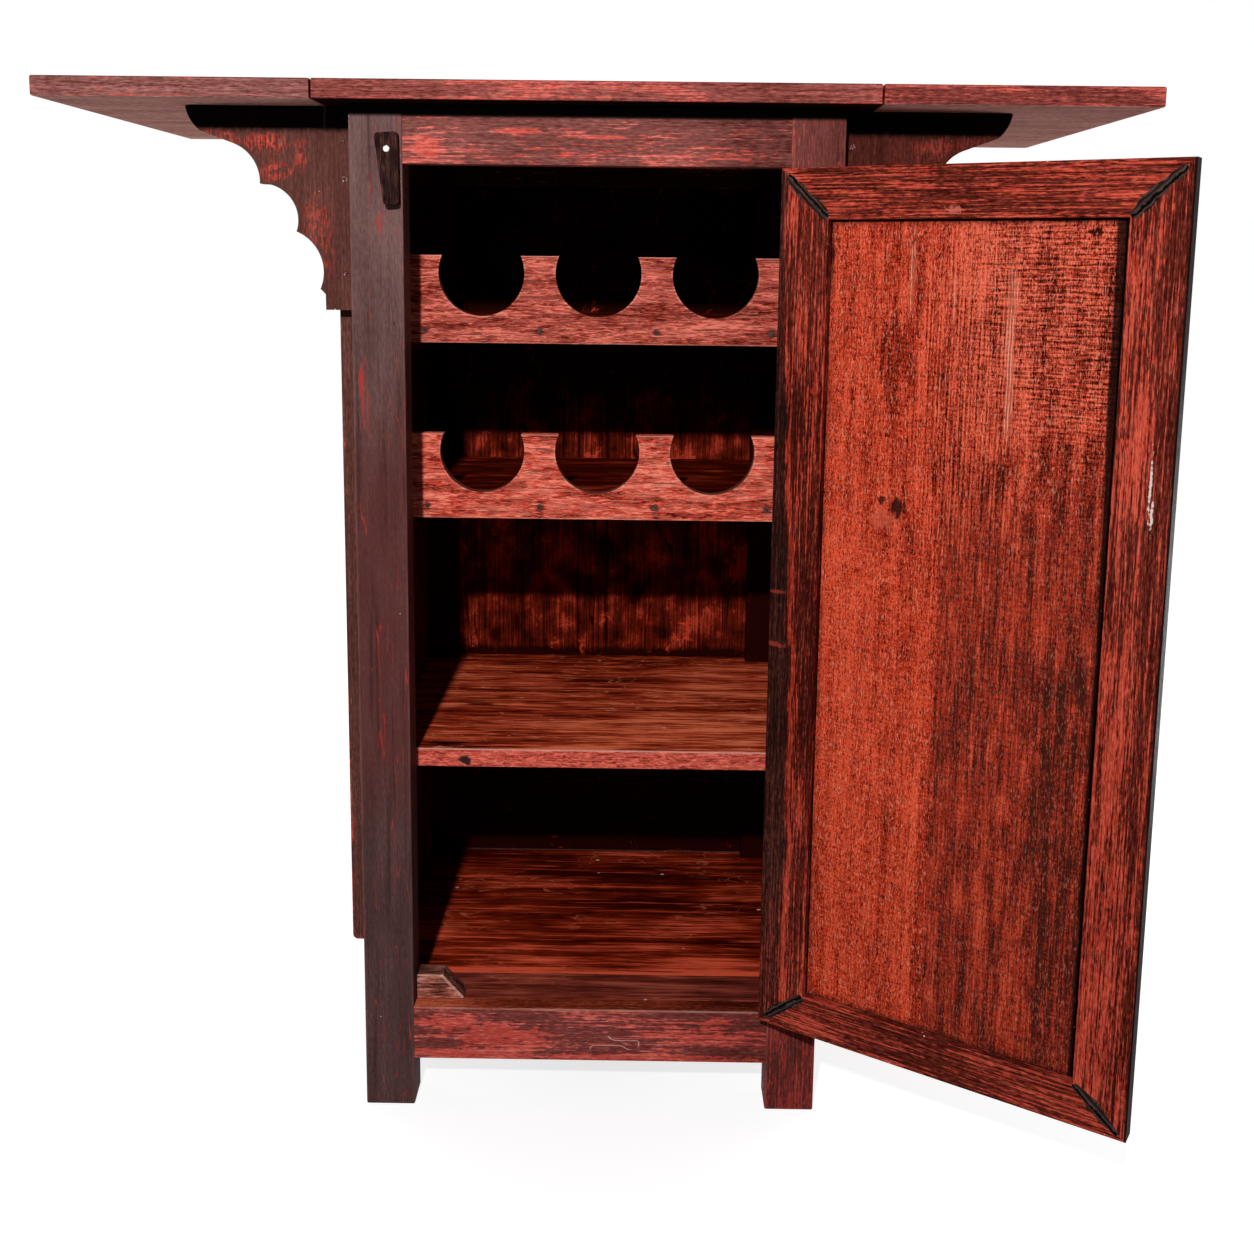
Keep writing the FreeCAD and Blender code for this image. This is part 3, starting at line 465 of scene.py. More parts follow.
def old_iron(piece, dark, light, rough):
    """Iron gone dark: a blotchy oxide between two colours, with fine pits."""
    iron = Finish(piece)
    blotches = iron.noise([0.006] * 3, detail=4.0, rough=0.65)
    pits = iron.noise([0.0009] * 3)
    tone = 0.5 + 1.6 * blotches + 0.8 * pits
    middle = tuple((a + b) // 2 for a, b in zip(dark, light))
    iron.shader.inputs["Metallic"].default_value = 0.3
    iron.colour = iron.ramp(tone, dark, middle, light)
    iron.lay(tone, rough=rough, depth=0.0002, gloss=0.2)


old_iron(nodes["rack_nails"], (30, 20, 18), (86, 62, 56), 0.6)

# Top
# A fixed centre board and two leaves of the same 19 mm stock, with rounded outer arrises. The edges are worn to red
# under a dusty lacquer, the upper faces are rubbed along the grain; the leaves are pale below, and the centre's
# underside carries painted shade, near black, under the overhang.
left_edge_lacquer = ((94, 47, 43), (148, 91, 85), (190, 126, 118))
centre_edge_lacquer = ((94, 39, 34), (148, 76, 69), (190, 110, 101))
right_edge_lacquer = ((82, 30, 26), (132, 59, 53), (178, 92, 84))
edge_red = ((144, 48, 41), (198, 76, 65), (236, 118, 104))
face_lacquer = ((54, 26, 23), (92, 45, 39), (136, 82, 74))
face_red = ((84, 27, 22), (136, 50, 41), (186, 92, 80))
leaf_under = ((132, 88, 81), (196, 140, 130), (232, 184, 172))
centre_under_painted_shade = ((16, 9, 8), (34, 19, 17), (60, 36, 32))
for node, under, lacquer in (("centre_top_board", centre_under_painted_shade, centre_edge_lacquer),
                             ("left_leaf_board", leaf_under, left_edge_lacquer),
                             ("right_leaf_board", leaf_under, right_edge_lacquer)):
    board = on_carcass(node, "x")
    rubbed = board.rubbed(0.003, 0.6, 0.006, 0.03)
    board.colour, tone = old_lacquer(board, lacquer, edge_red, 0.5 * rubbed - 0.25)
    upper_face = old_lacquer(board, face_lacquer, face_red, -0.05)[0]
    base, top = board.low[2], board.high[2]
    board.tint(upper_face, board.z.rising(top - 0.0015, top - 0.0002))
    # the underside: pale on the leaves, painted shade on the centre board
    board.tint(board.ramp(tone, *under), board.z.rising(base + 0.0012, base + 0.0002))
    board.lay(tone, gloss=0.0)

# Hinges
# Butt hinges of one section, in dark iron: plates with three knuckles on a pin, let into the wood and held by
# countersunk slotted screws, three in a plate. The pins are rubbed brighter.
for node in ("top_hinge_plates", "left_leaf_hinge_plates", "right_leaf_hinge_plates", "side_hinge_plates",
             "left_gate_hinge_plates", "right_gate_hinge_plates", "door_hinge_leg_plates",
             "door_hinge_door_plates"):
    old_iron(nodes[node], (34, 27, 25), (92, 74, 66), 0.55)
for node in ("top_hinge_pins", "side_hinge_pins", "door_hinge_pins"):
    old_iron(nodes[node], (60, 52, 48), (128, 114, 104), 0.42)


def new_piece(name, points, faces, body):
    """Piece at the origin, made of points and faces, that rides on a body."""
    mesh = bpy.data.meshes.new(name)
    mesh.from_pydata(points.tolist(), [], faces)
    piece = bpy.data.objects.new(name, mesh)
    bpy.context.scene.collection.objects.link(piece)
    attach(piece, body)
    return piece


def slotted_screws(name, centres, out, along, body):
    """Countersunk screw heads with a slot, flush on a plate, as one piece.

    A square grid (u, v) is mapped to a disc by x = u sqrt(1 - v^2 / 2) and y = v sqrt(1 - u^2 / 2). The height is a
    low crown that falls with the square of the radius, less the slot's depth where v is small. A straight skirt and
    a flat bottom close each head, and each slot is turned by a different angle."""
    radius, crown, slot_depth, skirt = 0.0032, 0.05, 0.2, 0.4
    u, v = np.meshgrid(np.linspace(-1.0, 1.0, 9),
                       np.array([-1.0, -0.7, -0.4, -0.21, -0.16, 0.16, 0.21, 0.4, 0.7, 1.0]), indexing="ij")
    x, y = u * np.sqrt(1 - v ** 2 / 2), v * np.sqrt(1 - u ** 2 / 2)
    height = crown * (1 - x ** 2 - y ** 2) - slot_depth * (np.abs(v) < 0.2)
    grid = np.arange(u.size).reshape(u.shape)
    rim = np.concatenate([grid[:, 0], grid[-1, 1:], grid[-2::-1, -1], grid[0, -2:0:-1]])
    head = np.stack([x.ravel(), y.ravel(), height.ravel()], axis=-1)
    foot = np.stack([x.ravel()[rim], y.ravel()[rim], np.full(len(rim), -skirt)], axis=-1)
    shape = radius * np.concatenate([head, foot])
    ring = len(head) + np.arange(len(rim))
    quads = np.concatenate([
        np.stack([grid[:-1, :-1], grid[1:, :-1], grid[1:, 1:], grid[:-1, 1:]], axis=-1).reshape(-1, 4),
        np.stack([rim, ring, np.roll(ring, -1), np.roll(rim, -1)], axis=-1)])
    count = len(centres)
    angle = np.random.default_rng(7).uniform(-1.2, 1.2, count)[:, None]
    across = np.cross(out, along)
    slot_way = np.cos(angle) * along + np.sin(angle) * across
    slot_side = np.cos(angle) * across - np.sin(angle) * along
    points = (np.array(centres)[:, None] + shape[None, :, :1] * slot_way[:, None] +
              shape[None, :, 1:2] * slot_side[:, None] + shape[None, :, 2:] * out)
    steps = (len(shape) * np.arange(count))[:, None, None]
    faces = (quads[None] + steps).reshape(-1, 4).tolist() + (ring[None, ::-1] + steps[:, 0]).tolist()
    piece = new_piece(name, points.reshape(-1, 3), faces, body)
    old_iron(piece, (70, 58, 52), (150, 132, 120), 0.45)


def plate_screws(middle, along, across, length):
    """Places of three screws in a plate, the outer two near the free edge and the middle one nearer the pin."""
    return [np.array(middle) + step * along * length + shift * across for step, shift in
            ((-0.34, 0.0135), (0.0, 0.009), (0.34, 0.0135))]


right, back, up = np.eye(3)
leaf_hinge_length, leaf_hinge_from_end, half_seam = 0.056, 0.080, 0.0012
top_low, top_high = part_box("centre_top_board")
fixed_places, left_places, right_places = [], [], []
for y in (top_low.y + leaf_hinge_from_end, top_high.y - leaf_hinge_from_end):
    for side, leaf_places in ((-1.0, left_places), (1.0, right_places)):
        pin = (side * (top_high.x + half_seam), y, top_high.z)
        fixed_places += plate_screws(pin, back, -side * right, leaf_hinge_length)
        leaf_places += plate_screws(pin, back, side * right, leaf_hinge_length)
for name, places, body in (("top", fixed_places, "carcass"), ("left_leaf", left_places, "left_leaf"),
                           ("right_leaf", right_places, "right_leaf")):
    slotted_screws(name + "_hinge_screws", places, up, back, body)

# Gates
# On each side a post, hinged to the cabinet, carries a scalloped bracket that holds up a leaf. Dark brown lacquer
# with red splashes under the leaf, a rubbed outer arris on the post, and three screws through the bracket.
gate_lacquer = ((58, 32, 27), (94, 55, 48), (128, 82, 74))
right_gate_lacquer = ((48, 18, 14), (80, 35, 28), (112, 56, 48))
gate_red = ((132, 38, 30), (182, 62, 50), (228, 104, 88))
gate_hinge_length, gate_hinge_above_foot, gate_hinge_below_top = 0.060, 0.088, 0.2874
carcass_half, plate_thickness, pin_out = 0.240, 0.0016, 0.0019
splashes = ((0.330, 1.012, 0.030, 0.014, 1.0), (0.385, 1.016, 0.045, 0.012, 0.9),
            (0.320, 0.984, 0.022, 0.013, 1.0), (0.295, 1.0, 0.010, 0.022, 0.6),
            (0.280, 0.936, 0.020, 0.036, 0.5), (0.270, 0.90, 0.010, 0.03, 0.4))
for name, side, lacquer, splashed in (("left", -1.0, gate_lacquer, 1.0),
                                      ("right", 1.0, right_gate_lacquer, 0.3)):
    bracket = on_carcass(name + "_gate_bracket")
    ragged = bracket.noise((0.007, 0.05, 0.009), detail=5.0, rough=0.65, warp=0.5)
    splash = bracket.marks([(side * x, *rest) for x, *rest in splashes], bracket.low[1], 0.1, 1.6 * ragged)
    bracket.colour, tone = old_lacquer(bracket, lacquer, gate_red, -0.4 - 0.2 * splashed,
                                       bold=0.8 - 0.3 * splashed)
    flaking = (ragged + bracket.streaks(0.002, 0.01)).rising(-0.1, 0.08)
    bracket.tint(bracket.ramp(tone + 0.8 * ragged, *gate_red), splashed * splash * flaking)
    # painted shadow under the leaf, along the top of the bracket
    bracket.tint(painted_shadow_black, (bracket.z + 0.004 * ragged).rising(1.020, 1.028))
    bracket.lay(tone)

    post = on_carcass(name + "_gate_post")
    low_arris = post.arris(0.006) * post.z.rising(0.55, 0.35) * (0.5 + 2.0 * post.streaks(0.01, 0.03))
    worn = 0.5 * post.rubbed(0.003, 0.45, 0.008, 0.06) + 0.7 * low_arris - 0.5
    post.colour, tone = old_lacquer(post, gate_lacquer, gate_red, worn, bold=0.7)
    post.lay(tone)

    screws = on_carcass(name + "_gate_screws")
    tone = 0.5 + 1.2 * screws.noise([0.001] * 3)
    screws.colour = screws.ramp(tone, (48, 28, 24), (78, 46, 40), (112, 74, 66))
    # painted glints: small pale highlights on the dark screw heads
    screws.tint((214, 170, 156), screws.noise([0.0012] * 3).rising(0.2, 0.26))
    screws.lay(tone)

    post_low, post_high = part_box(name + "_gate_post")
    side_places, post_places = [], []
    for z in (post_low.z + gate_hinge_above_foot, post_high.z - gate_hinge_below_top):
        side_places += plate_screws((side * (carcass_half + plate_thickness), post_high.y + pin_out, z),
                                    up, back, gate_hinge_length)
        post_places += plate_screws((side * (carcass_half + pin_out), post_high.y + plate_thickness, z),
                                    up, side * right, gate_hinge_length)
    slotted_screws(name + "_side_hinge_screws", side_places, side * right, up, "carcass")
    slotted_screws(name + "_gate_hinge_screws", post_places, back, up, name + "_gate")

# Door
# A mitred frame of four softwood boards round a sawn panel held by its tongue, hung on the right front leg and seen
# from inside. The frame's grain runs along each board; a dark band, wider lower down, lies along the hinge edge.
hinge = next(joint for joint in frame["joints"] if joint["child"] == "door")
door_turn = -math.radians(hinge["range_deg"][0])
door_pivot = (hinge["pos_m"][0], hinge["pos_m"][1], 0.0)
frame_lacquer = ((54, 14, 9), (100, 36, 27), (140, 62, 50))
frame_red = ((124, 33, 21), (172, 59, 42), (216, 92, 72))
hinge_band_colours = ((24, 12, 10), (50, 27, 23), (84, 46, 40))
door_frame = {}
for node in ("door_top_rail", "door_bottom_rail", "door_hinge_stile", "door_free_stile"):
    member = Finish(nodes[node], "x" if node.endswith("rail") else "z", door_turn, door_pivot)
    door_frame[node] = member
    inner_face = member.high[1]
    from_hinge = -1.0 * member.x
    ragged = member.noise((0.003, 0.02, 0.004), detail=3.0)
    worn, shade = 0.25 * member.rubbed(0.0025, 0.4, 0.008, 0.06) - 0.04, 0.0
    if node == "door_hinge_stile":
        border = 0.006 + 0.019 * member.z.rising(0.92, 0.42) + 0.012 * member.streaks(0.2, 0.09)
        worn_line = member.line(from_hinge - border - 0.004, 0.003) * member.z.rising(0.9, 0.6)
        worn = worn + 0.7 * worn_line - 0.06
        shade = -0.2 * member.z.rising(0.9, 0.74) * member.z.rising(0.28, 0.42)
    elif node == "door_free_stile":
        outer_half = (from_hinge + 0.008 * member.streaks(0.2, 0.05)).rising(0.348, 0.357)
        worn = worn + 0.06 - 0.28 * outer_half + 0.2 * member.z.rising(0.62, 0.42)
        shade = 0.04 - 0.12 * outer_half
    member.colour, tone = old_lacquer(member, frame_lacquer, frame_red, worn, shade, bold=1.3, cloudy=0.4)
    if node == "door_top_rail":
        patch = member.spot((-0.172, inner_face, 0.949), (0.010, 0.02, 0.004), 1.6 * ragged)
        member.tint((206, 106, 92), 0.7 * patch)
    elif node == "door_hinge_stile":
        dark_band = (from_hinge - border).rising(0.003, -0.003) * (0.92 - 0.4 * member.z.rising(0.3, 0.18))
        member.tint(member.ramp(tone, *hinge_band_colours), dark_band)
        for z, half_height in ((0.578, 0.0022), (0.524, 0.0032)):
            mark = member.spot((-0.009, inner_face, z), (0.014, 0.02, half_height), 1.2 * ragged)
            member.tint((166, 58, 45), 0.6 * mark)
    elif node == "door_free_stile":
        for x, z, half_width, half_height in ((-0.3545, 0.716, 0.0013, 0.030), (-0.3570, 0.692, 0.0016, 0.016)):
            scuff = member.spot((x, inner_face, z), (half_width, 0.01, half_height), 1.5 * ragged)
            member.tint((240, 216, 206), 0.9 * scuff)
        # painted shade: the outer free edge face of the stile is painted near black
        member.tint((30, 14, 12), from_hinge.rising(0.3705, 0.372))
    member.lay(tone)

# Door panel
# One wide sawn board. Saw marks cross the grain in a fine check, strongest near the top of the free side; the red is
# worn bright in broad bands on the hinge side, with a knot, pale bare streaks and dirt along the edges. Painted
# shade lies near black on the tongue and in the gap along the free side.
panel = Finish(nodes["door_panel"], "z", door_turn, door_pivot)
tongue, panel_face = 0.0096, 0.015
free_end, panel_back, panel_foot = panel.low
hinge_end, _, panel_head = panel.high
grit = panel.noise((0.0011, 0.02, 0.0022), detail=3.0, rough=0.65)
pores = panel.noise((0.0013, 0.02, 0.005), detail=1.0).rising(0.12, 0.24)
upright = panel.noise((0.0016, 0.02, 0.06))
level = panel.noise((0.014, 0.02, 0.0016), detail=1.0)
bands = panel.noise((0.010, 0.05, 0.3), detail=3.0)
clouds = panel.noise((0.010, 0.05, 0.045), detail=5.0, rough=0.66)
check = panel.spot((-0.285, panel_face, 0.87), (0.12, 0.1, 0.17))
combed = panel.spot((-0.19, panel_face, 0.77), (0.07, 0.1, 0.22))
comb_lines = panel.wave(panel.x, 0.0046, 0.5 * bands) + panel.wave(panel.x, 0.0031, 0.8 * clouds)
saw_lines = panel.wave(panel.z, 0.0047, 1.2 * panel.noise((0.05, 0.05, 0.02))) * (0.6 + upright)
shadings = (
    (-0.118, 0.815, 0.018, 0.07, -0.22), (-0.28, 0.715, 0.06, 0.045, -0.12), (-0.20, 0.71, 0.05, 0.022, -0.14),
    (-0.27, 0.53, 0.06, 0.035, -0.14), (-0.195, 0.38, 0.05, 0.16, -0.06), (-0.30, 0.36, 0.045, 0.24, -0.16),
    (-0.312, 0.475, 0.018, 0.026, -0.2), (-0.205, 0.22, 0.05, 0.09, -0.08), (-0.075, 0.21, 0.03, 0.06, 0.08),
    (-0.135, 0.37, 0.009, 0.03, -0.18), (-0.315, 0.85, 0.018, 0.08, -0.16), (-0.053, 0.908, 0.005, 0.016, -0.6),
    (-0.295, 0.929, 0.008, 0.004, -0.6), (-0.24, 0.402, 0.016, 0.02, 0.2), (-0.155, 0.43, 0.012, 0.2, 0.14),
    (-0.157, 0.21, 0.006, 0.07, 0.26), (-0.25, 0.217, 0.024, 0.05, 0.12), (-0.146, 0.797, 0.006, 0.06, 0.18),
    (-0.07, 0.60, 0.05, 0.09, 0.16), (-0.09, 0.42, 0.06, 0.16, 0.13), (-0.19, 0.905, 0.03, 0.06, 0.18),
    (-0.31, 0.80, 0.03, 0.06, -0.12), (-0.275, 0.50, 0.03, 0.05, -0.1))
shade = panel.marks(shadings, panel_face, 0.1, 0.8 * clouds + 0.4 * bands)
darker_half = (0.01 * bands - panel.x).rising(0.168, 0.176) * (panel.z + 0.06 * clouds).rising(0.76, 0.62)
tone = (0.62 + (0.9 - 0.4 * darker_half) * grit - 0.3 * pores + (0.45 + 0.3 * combed) * upright
        + 0.12 * combed * comb_lines + (0.25 + 0.6 * check) * level + (0.04 + 0.2 * check) * saw_lines
        + 0.4 * bands + 0.5 * clouds + shade
        - (0.14 + 0.1 * panel.x.rising(-0.2, -0.32) - 0.3 * upright) * darker_half)
paler = panel.z.rising(0.58, 0.86) * (0.15 + 0.85 * panel.x.rising(-0.13, -0.22))
panel.colour = panel.ramp(tone, (62, 15, 8), (170, 47, 27), (236, 90, 58))
panel.tint(panel.ramp(tone, (56, 15, 9), (166, 56, 39), (238, 110, 82)), paler)
panel.tint((98, 60, 50), 0.17 * darker_half)
panel.tint((38, 11, 7), 0.6 * panel.noise((0.0017, 0.02, 0.0021)).rising(0.17, 0.25))
glow = panel.noise((0.0013, 0.02, 0.006), centre=(0.5, 0.0, 0.0)).rising(0.16, 0.26)
panel.tint((248, 152, 124), 0.45 * glow * (1.0 - 0.5 * darker_half))
ragged = panel.noise((0.004, 0.02, 0.012), detail=3.0)
combing = panel.wave(panel.x, 0.0026, 0.8 * panel.noise((0.05, 0.05, 0.03)))
hairs = combing.rising(0.0, 0.7) * (ragged + upright).rising(-0.25, 0.1)
for x, z, half_width, half_height, strength in (
        (-0.2265, 0.85, 0.0062, 0.07, 0.9), (-0.2280, 0.785, 0.0052, 0.05, 1.0),
        (-0.1335, 0.895, 0.0044, 0.05, 0.8), (-0.174, 0.875, 0.0024, 0.03, 0.5)):
    bare = panel.spot((x, panel_face, z), (half_width, 0.1, half_height), 1.2 * ragged)
    panel.tint((214, 104, 80), 0.5 * strength * bare)
    panel.tint((240, 172, 142), 0.8 * strength * bare * hairs)
for x, z, half_width, half_height, colour, strength in (
        (-0.116, 0.661, 0.014, 0.013, (212, 96, 74), 0.5), (-0.1275, 0.674, 0.0085, 0.010, (34, 16, 14), 0.92),
        (-0.111, 0.680, 0.0055, 0.004, (40, 20, 18), 0.85)):
    knot = panel.spot((x, panel_face, z), (half_width, 0.1, half_height), 1.6 * ragged)
    panel.tint(colour, strength * knot)
inset = panel.math("MINIMUM", panel.math("MINIMUM", panel.x - free_end, hinge_end - panel.x),
                   panel.math("MINIMUM", panel.z - panel_foot, panel_head - panel.z)) - tongue
# dirt along the panel's edges, with painted shade where the tongue sits in its groove
border_dirt_and_shade = inset.rising(0.007, 0.0005) * (0.4 + 1.6 * clouds)
panel.tint((40, 18, 15), panel.math("MINIMUM", 0.9, border_dirt_and_shade))
# painted shade: the gap along the free side, wider towards the top
free_gap_spread = 0.004 * clouds + 0.005 * panel.z.rising(0.55, 0.9)
free_gap_shade = (panel.x - free_end - tongue - free_gap_spread).rising(0.0035, 0.001)
panel.tint((18, 9, 8), 0.92 * free_gap_shade)
edge_chips = panel.flecks(0.007, 0.001, 0.3) * inset.rising(0.009, 0.003)
panel.tint((240, 206, 194), edge_chips + panel.flecks(0.03, 0.0009, 0.3))
# painted shade: the tongue is painted near black
panel.tint((10, 5, 5), inset.rising(0.0003, -0.0004))
outer_face = old_lacquer(panel, frame_lacquer, frame_red, -0.14, cloudy=0.6)[0]
panel.tint(outer_face, panel.y.rising(panel_back + 0.0014, panel_back + 0.0006))
panel.lay(tone, depth=0.0006)

# Mitre filler
# A smear of dark grey-brown filler covers each mitre of the door's frame, about 11 mm wide, pressed flat on the face
# and thinning towards the outer corner.


def skin(name, rings, body):
    """Closed surface through rings of points: quads between neighbouring rings and a fan at each end."""
    count, around = rings.shape[:2]
    grid = np.arange(count * around).reshape(count, around)
    turned = np.roll(grid, -1, axis=1)
    quads = np.stack([grid[:-1], turned[:-1], turned[1:], grid[1:]], axis=-1).reshape(-1, 4)
    first = np.stack([turned[0], grid[0], np.full(around, grid.size)], axis=-1)
    last = np.stack([grid[-1], turned[-1], np.full(around, grid.size + 1)], axis=-1)
    points = np.concatenate([rings.reshape(-1, 3), rings[[0, -1]].mean(axis=1)])
    piece = new_piece(name, points, quads.tolist() + first.tolist() + last.tolist(), body)
    piece.data.shade_smooth()
    return piece


def filler_rings(outer, inner, face, seed):
    """Rings of a flattened smear from an outer to an inner corner, in the door's own frame.

    At a share s of its length the half width is 8.5 mm times a blunt taper, s to the power 0.4 at the outer end and
    1 - s to the power 0.3 at the inner, with a slow wobble. The section is a lens 0.45 mm proud of the face."""
    s = np.linspace(0.0, 1.0, 41)[1:-1, None]
    angle = np.linspace(0.0, 2 * math.pi, 24, endpoint=False)[None]
    run = inner - outer
    side = np.array([-run[1], run[0]]) / np.hypot(*run)
    wobble = 1 + 0.14 * np.sin(9 * s + seed) + 0.08 * np.sin(23 * s + 2 * seed)
    half_width = 0.0085 * s ** 0.4 * (1 - s) ** 0.3 * wobble
    across = 0.0008 * np.sin(6 * s + 3 * seed) + half_width * np.cos(angle)
    proud = 0.00045 * s ** 0.3 * (1 - s) ** 0.2 * np.sin(angle)
    x = outer[0] + run[0] * s + side[0] * across
    z = outer[1] + run[1] * s + side[1] * across
    return np.stack([x, face + np.where(proud > 0, proud, 0.3 * proud), z], axis=-1)


hinge_stile, free_stile = door_frame["door_hinge_stile"], door_frame["door_free_stile"]
top_rail, bottom_rail = door_frame["door_top_rail"], door_frame["door_bottom_rail"]
corner_share = 0.12
for index, (name, stile, rail, edge, end) in enumerate((
        ("top_hinge_mitre", hinge_stile, top_rail, "high", "high"),
        ("top_free_mitre", free_stile, top_rail, "low", "high"),
        ("bottom_free_mitre", free_stile, bottom_rail, "low", "low"),
        ("bottom_hinge_mitre", hinge_stile, bottom_rail, "high", "low"))):
    outer = np.array([getattr(stile, edge)[0], getattr(rail, end)[2]])
    inner = np.array([stile.low[0] + stile.high[0], rail.low[2] + rail.high[2]]) - outer
    rings = filler_rings(outer + corner_share * (inner - outer), inner, stile.high[1], 1.7 * index)
    swung = np.array(door_pivot) + rings @ stile.axes().T
    filler = Finish(skin(name + "_filler", swung, "door"), "z", door_turn, door_pivot)
    (corner_x, corner_z), (run_x, run_z) = outer.tolist(), (inner - outer).tolist()
    length = math.hypot(run_x, run_z)
    beside = (filler.x - corner_x) * (-run_z / length) + (filler.z - corner_z) * (run_x / length)
    lumps = filler.noise((0.008, 0.02, 0.008), detail=3.0)
    tone = 0.5 + 0.6 * lumps + 0.25 * filler.wave(beside, 0.0042, lumps)
    filler.colour = filler.ramp(tone, (22, 15, 13), (46, 35, 32), (86, 68, 62))
    filler.tint((8, 5, 5), filler.line(beside + 0.003 * lumps + 0.0016, 0.0014))
    filler.tint((206, 180, 168), filler.flecks(0.008, 0.0007, 0.15))
    filler.lay(tone, rough=0.7)

# Door hinge screws
# Three slotted screws in each plate of the two door hinges, on the edge of the stile and on the leg. Dark iron, with
# the slots left as the driver left them.
door_hinge_length, door_hinge_from_end, plate_play = 0.064, 0.092, 0.0003
door_right, door_back = hinge_stile.axes().T[:2]
leg_places, door_places = [], []
for z in (bottom_rail.low[2] + door_hinge_from_end, top_rail.high[2] - door_hinge_from_end):
    pin = np.array(door_pivot) + z * up
    leg_places += plate_screws(pin + plate_play * right, up, back, door_hinge_length)
    door_places += plate_screws(pin - plate_play * door_right, up, door_back, door_hinge_length)
slotted_screws("door_hinge_leg_screws", leg_places, -right, up, "carcass")
slotted_screws("door_hinge_door_screws", door_places, door_right, up, "door")

# Knob
# A small turned knob with a tenon in the free stile, on the outer face. Dark lacquer, rubbed red on the crown.
knob = Finish(nodes["door_knob"], "y", door_turn, door_pivot)
crown = knob.y.rising(-0.012, -0.02)
knob.colour, tone = old_lacquer(knob, frame_lacquer, frame_red, 0.25 * crown - 0.15, -0.1)
knob.lay(tone, rough=0.4)

# Turn button
# A tapered wooden button on a domed screw in the left front leg, which holds the closed door. Nearly black with
# handling, brown on its worn arrises; the screw is bright steel.
button = on_carcass("turn_button")
rubbed = button.rubbed(0.002, 0.5, 0.004, 0.02)
tone = 0.42 + 0.7 * button.streaks(0.0012, 0.012) + 0.6 * button.streaks(0.006, 0.02) + 0.3 * rubbed
button.colour = button.ramp(tone, (22, 13, 12), (52, 31, 28), (112, 66, 58))
button.lay(tone, rough=0.45)
screw = on_carcass("turn_button_screw")
tone = 0.5 + 0.8 * screw.noise((0.0004, 0.004, 0.0004))
screw.shader.inputs["Metallic"].default_value = 0.7
screw.colour = screw.ramp(tone, (196, 190, 182), (232, 228, 222), (250, 248, 244))
screw.lay(tone, rough=0.32, depth=0.0001, gloss=0.5)

# Stop block
# A bevelled softwood block nailed to the deck, against which the closed door rests. Pale brown, scratched, with pale
# worn arrises.
stop_run, stop_rise, stop_arris = 0.024, 0.027, 0.0022
block = on_carcass("door_stop_block", "x")
scratches = abs(block.noise((0.012, 0.02, 0.009), warp=1.5)).rising(0.025, 0.0)
tone = 0.5 + block.streaks(0.0016, 0.014, detail=3.0) + block.streaks(0.01, 0.03)
front = block.y.rising(block.low[1] + 0.0018, block.low[1] + 0.0008)
block.colour = block.ramp(tone, (44, 20, 14), (104, 58, 48), (166, 104, 92))
block.tint(block.ramp(tone, (70, 31, 22), (160, 92, 78), (232, 156, 140)), front)
block.tint((48, 22, 16), 0.8 * scratches)
bevel = math.hypot(stop_rise, stop_run)
from_bevel = (stop_rise / bevel) * (block.x - block.high[0]) + (stop_run / bevel) * (block.z - block.low[2])
pale = block.line(from_bevel, stop_arris) + block.line(block.z - block.high[2], stop_arris)
block.tint((222, 172, 154), 0.75 * front * pale * (0.7 + block.streaks(0.004, 0.012)))
block.lay(tone, rough=0.6)

# Floor and background
# A pale floor that shows white to the camera where light falls on it and keeps the cabinet's shadow, under a plain
# white surround. Diffuse rays see a dimmer surround, so the inside of the cabinet stays dark.


def seen_directly(recipe):
    """1 for rays from the camera and for mirror and glass rays, 0 for the rest."""
    path = recipe.node("LightPath").outputs
    return recipe.math("MAXIMUM", recipe.math("MAXIMUM", path["Is Camera Ray"], path["Is Glossy Ray"]),
                       path["Is Transmission Ray"])


def scaled(recipe, share, low, high):
    """Field that is low where share is 0 and high where it is 1."""
    made = recipe.node("MapRange", {}, {"Value": share, "To Min": low, "To Max": high})
    return Field(recipe, made.outputs["Result"])


white = (1.0, 1.0, 1.0, 1.0)
world = bpy.data.worlds.new("studio")
world.use_nodes = True
bpy.context.scene.world = world
surround = Recipe(world.node_tree)
background = surround.tree.nodes["Background"].inputs
surround.feed(background["Color"], white)
surround.feed(background["Strength"], scaled(surround, seen_directly(surround), 0.02, 1.0))

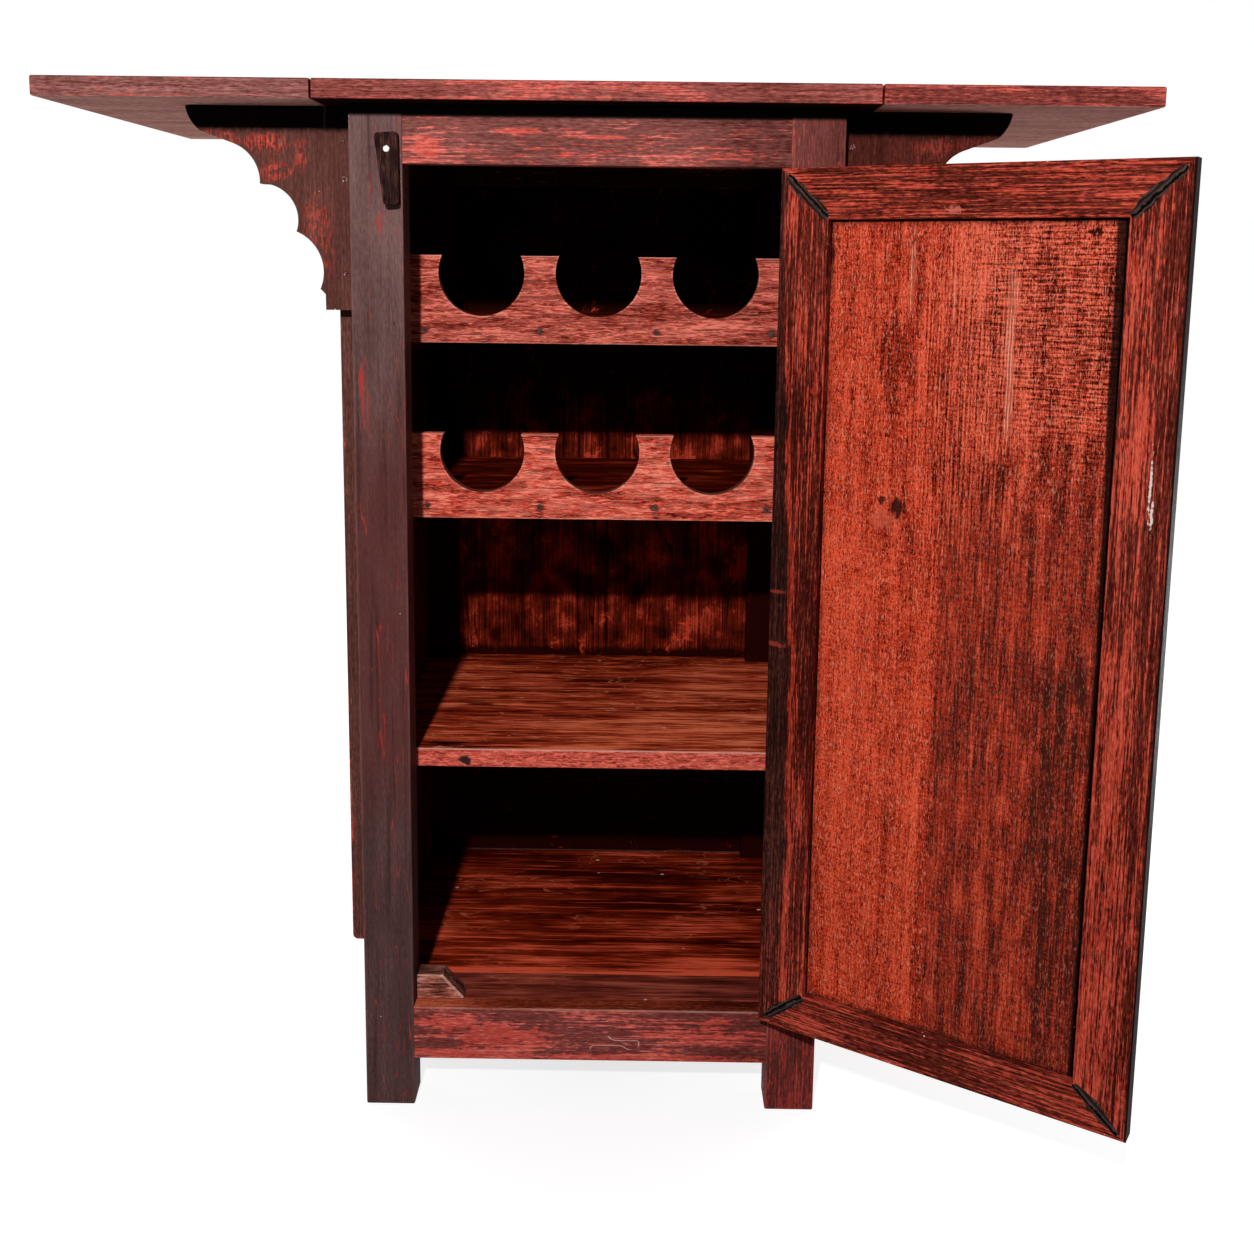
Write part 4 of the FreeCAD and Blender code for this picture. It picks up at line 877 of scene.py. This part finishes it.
floor_half = 12.0
floor_mesh = bpy.data.meshes.new("floor")
floor_mesh.from_pydata([(x * floor_half, y * floor_half, 0.0) for x, y in ((-1, -1), (1, -1), (1, 1), (-1, 1))],
                       [], [(0, 1, 2, 3)])
floor = bpy.data.objects.new("floor", floor_mesh)
bpy.context.scene.collection.objects.link(floor)
paint = Finish(floor)
from_middle = paint.distance((0.0, 0.0, 0.0), (1.0, 1.0, 1.0))
for name, value in (("Base Color", (0.35, 0.35, 0.35, 1.0)), ("Roughness", 0.9), ("Specular IOR Level", 0.0),
                    ("Emission Color", white),
                    ("Emission Strength", scaled(paint, from_middle, 0.75, 1.0) * seen_directly(paint))):
    paint.feed(paint.shader.inputs[name], value)

# Lamps
# One small key lamp in front, a little to the left and above, which throws the hard shadows inside the cabinet. Wide
# soft lamps behind light the sides and the back, and two low ones at the sides light the leaves from below.


def lamp(name, place, target, width, power):
    """Round lamp at a place, facing a target."""
    data = bpy.data.lights.new(name, "AREA")
    data.shape = "DISK"
    data.size = width
    data.energy = power
    light = bpy.data.objects.new(name, data)
    bpy.context.scene.collection.objects.link(light)
    forward = np.array(target) - np.array(place)
    yaw = math.atan2(forward[1], forward[0]) - math.pi / 2
    tilt = math.pi / 2 + math.atan2(forward[2], math.hypot(forward[0], forward[1]))
    light.visible_camera = False
    light.matrix_world = Matrix.Translation(place) @ Matrix.Rotation(yaw, 4, "Z") @ Matrix.Rotation(tilt, 4, "X")


lamp("key", (-0.239, -2.176, 1.752), (0.0, 0.0, 0.6), 0.08, 48.0)
for name, side in (("left", -1.0), ("right", 1.0)):
    lamp(name + "_fill", (side * 2.2, 2.2, 2.6), (0.0, 0.1, 0.6), 1.6, 35.0)
    lamp(name + "_low", (side * 1.5, 0.6, 0.3), (side * 0.3, 0.2, 1.0), 0.8, 9.0)

# Camera
# At the height of the upper rack, a little right of the middle of the opening and tilted down, as in the photograph.
# The lens is shifted by no more than the photograph's framing needs.
camera_place = (0.04185, -1.47104, 0.90037)
camera_yaw, camera_tilt, camera_roll = np.radians([-0.384, 8.888, 0.653]).tolist()
camera_data = bpy.data.cameras.new("camera")
camera_data.sensor_width = 36.0
camera_data.lens = 39.552
camera_data.shift_y = -0.12
camera_data.clip_start = 0.01
camera = bpy.data.objects.new("camera", camera_data)
bpy.context.scene.collection.objects.link(camera)
camera.matrix_world = (Matrix.Translation(camera_place) @ Matrix.Rotation(-camera_yaw, 4, "Z")
                       @ Matrix.Rotation(math.pi / 2 - camera_tilt, 4, "X") @ Matrix.Rotation(camera_roll, 4, "Z"))
bpy.context.scene.camera = camera
bpy.context.scene.view_settings.view_transform = "Standard"
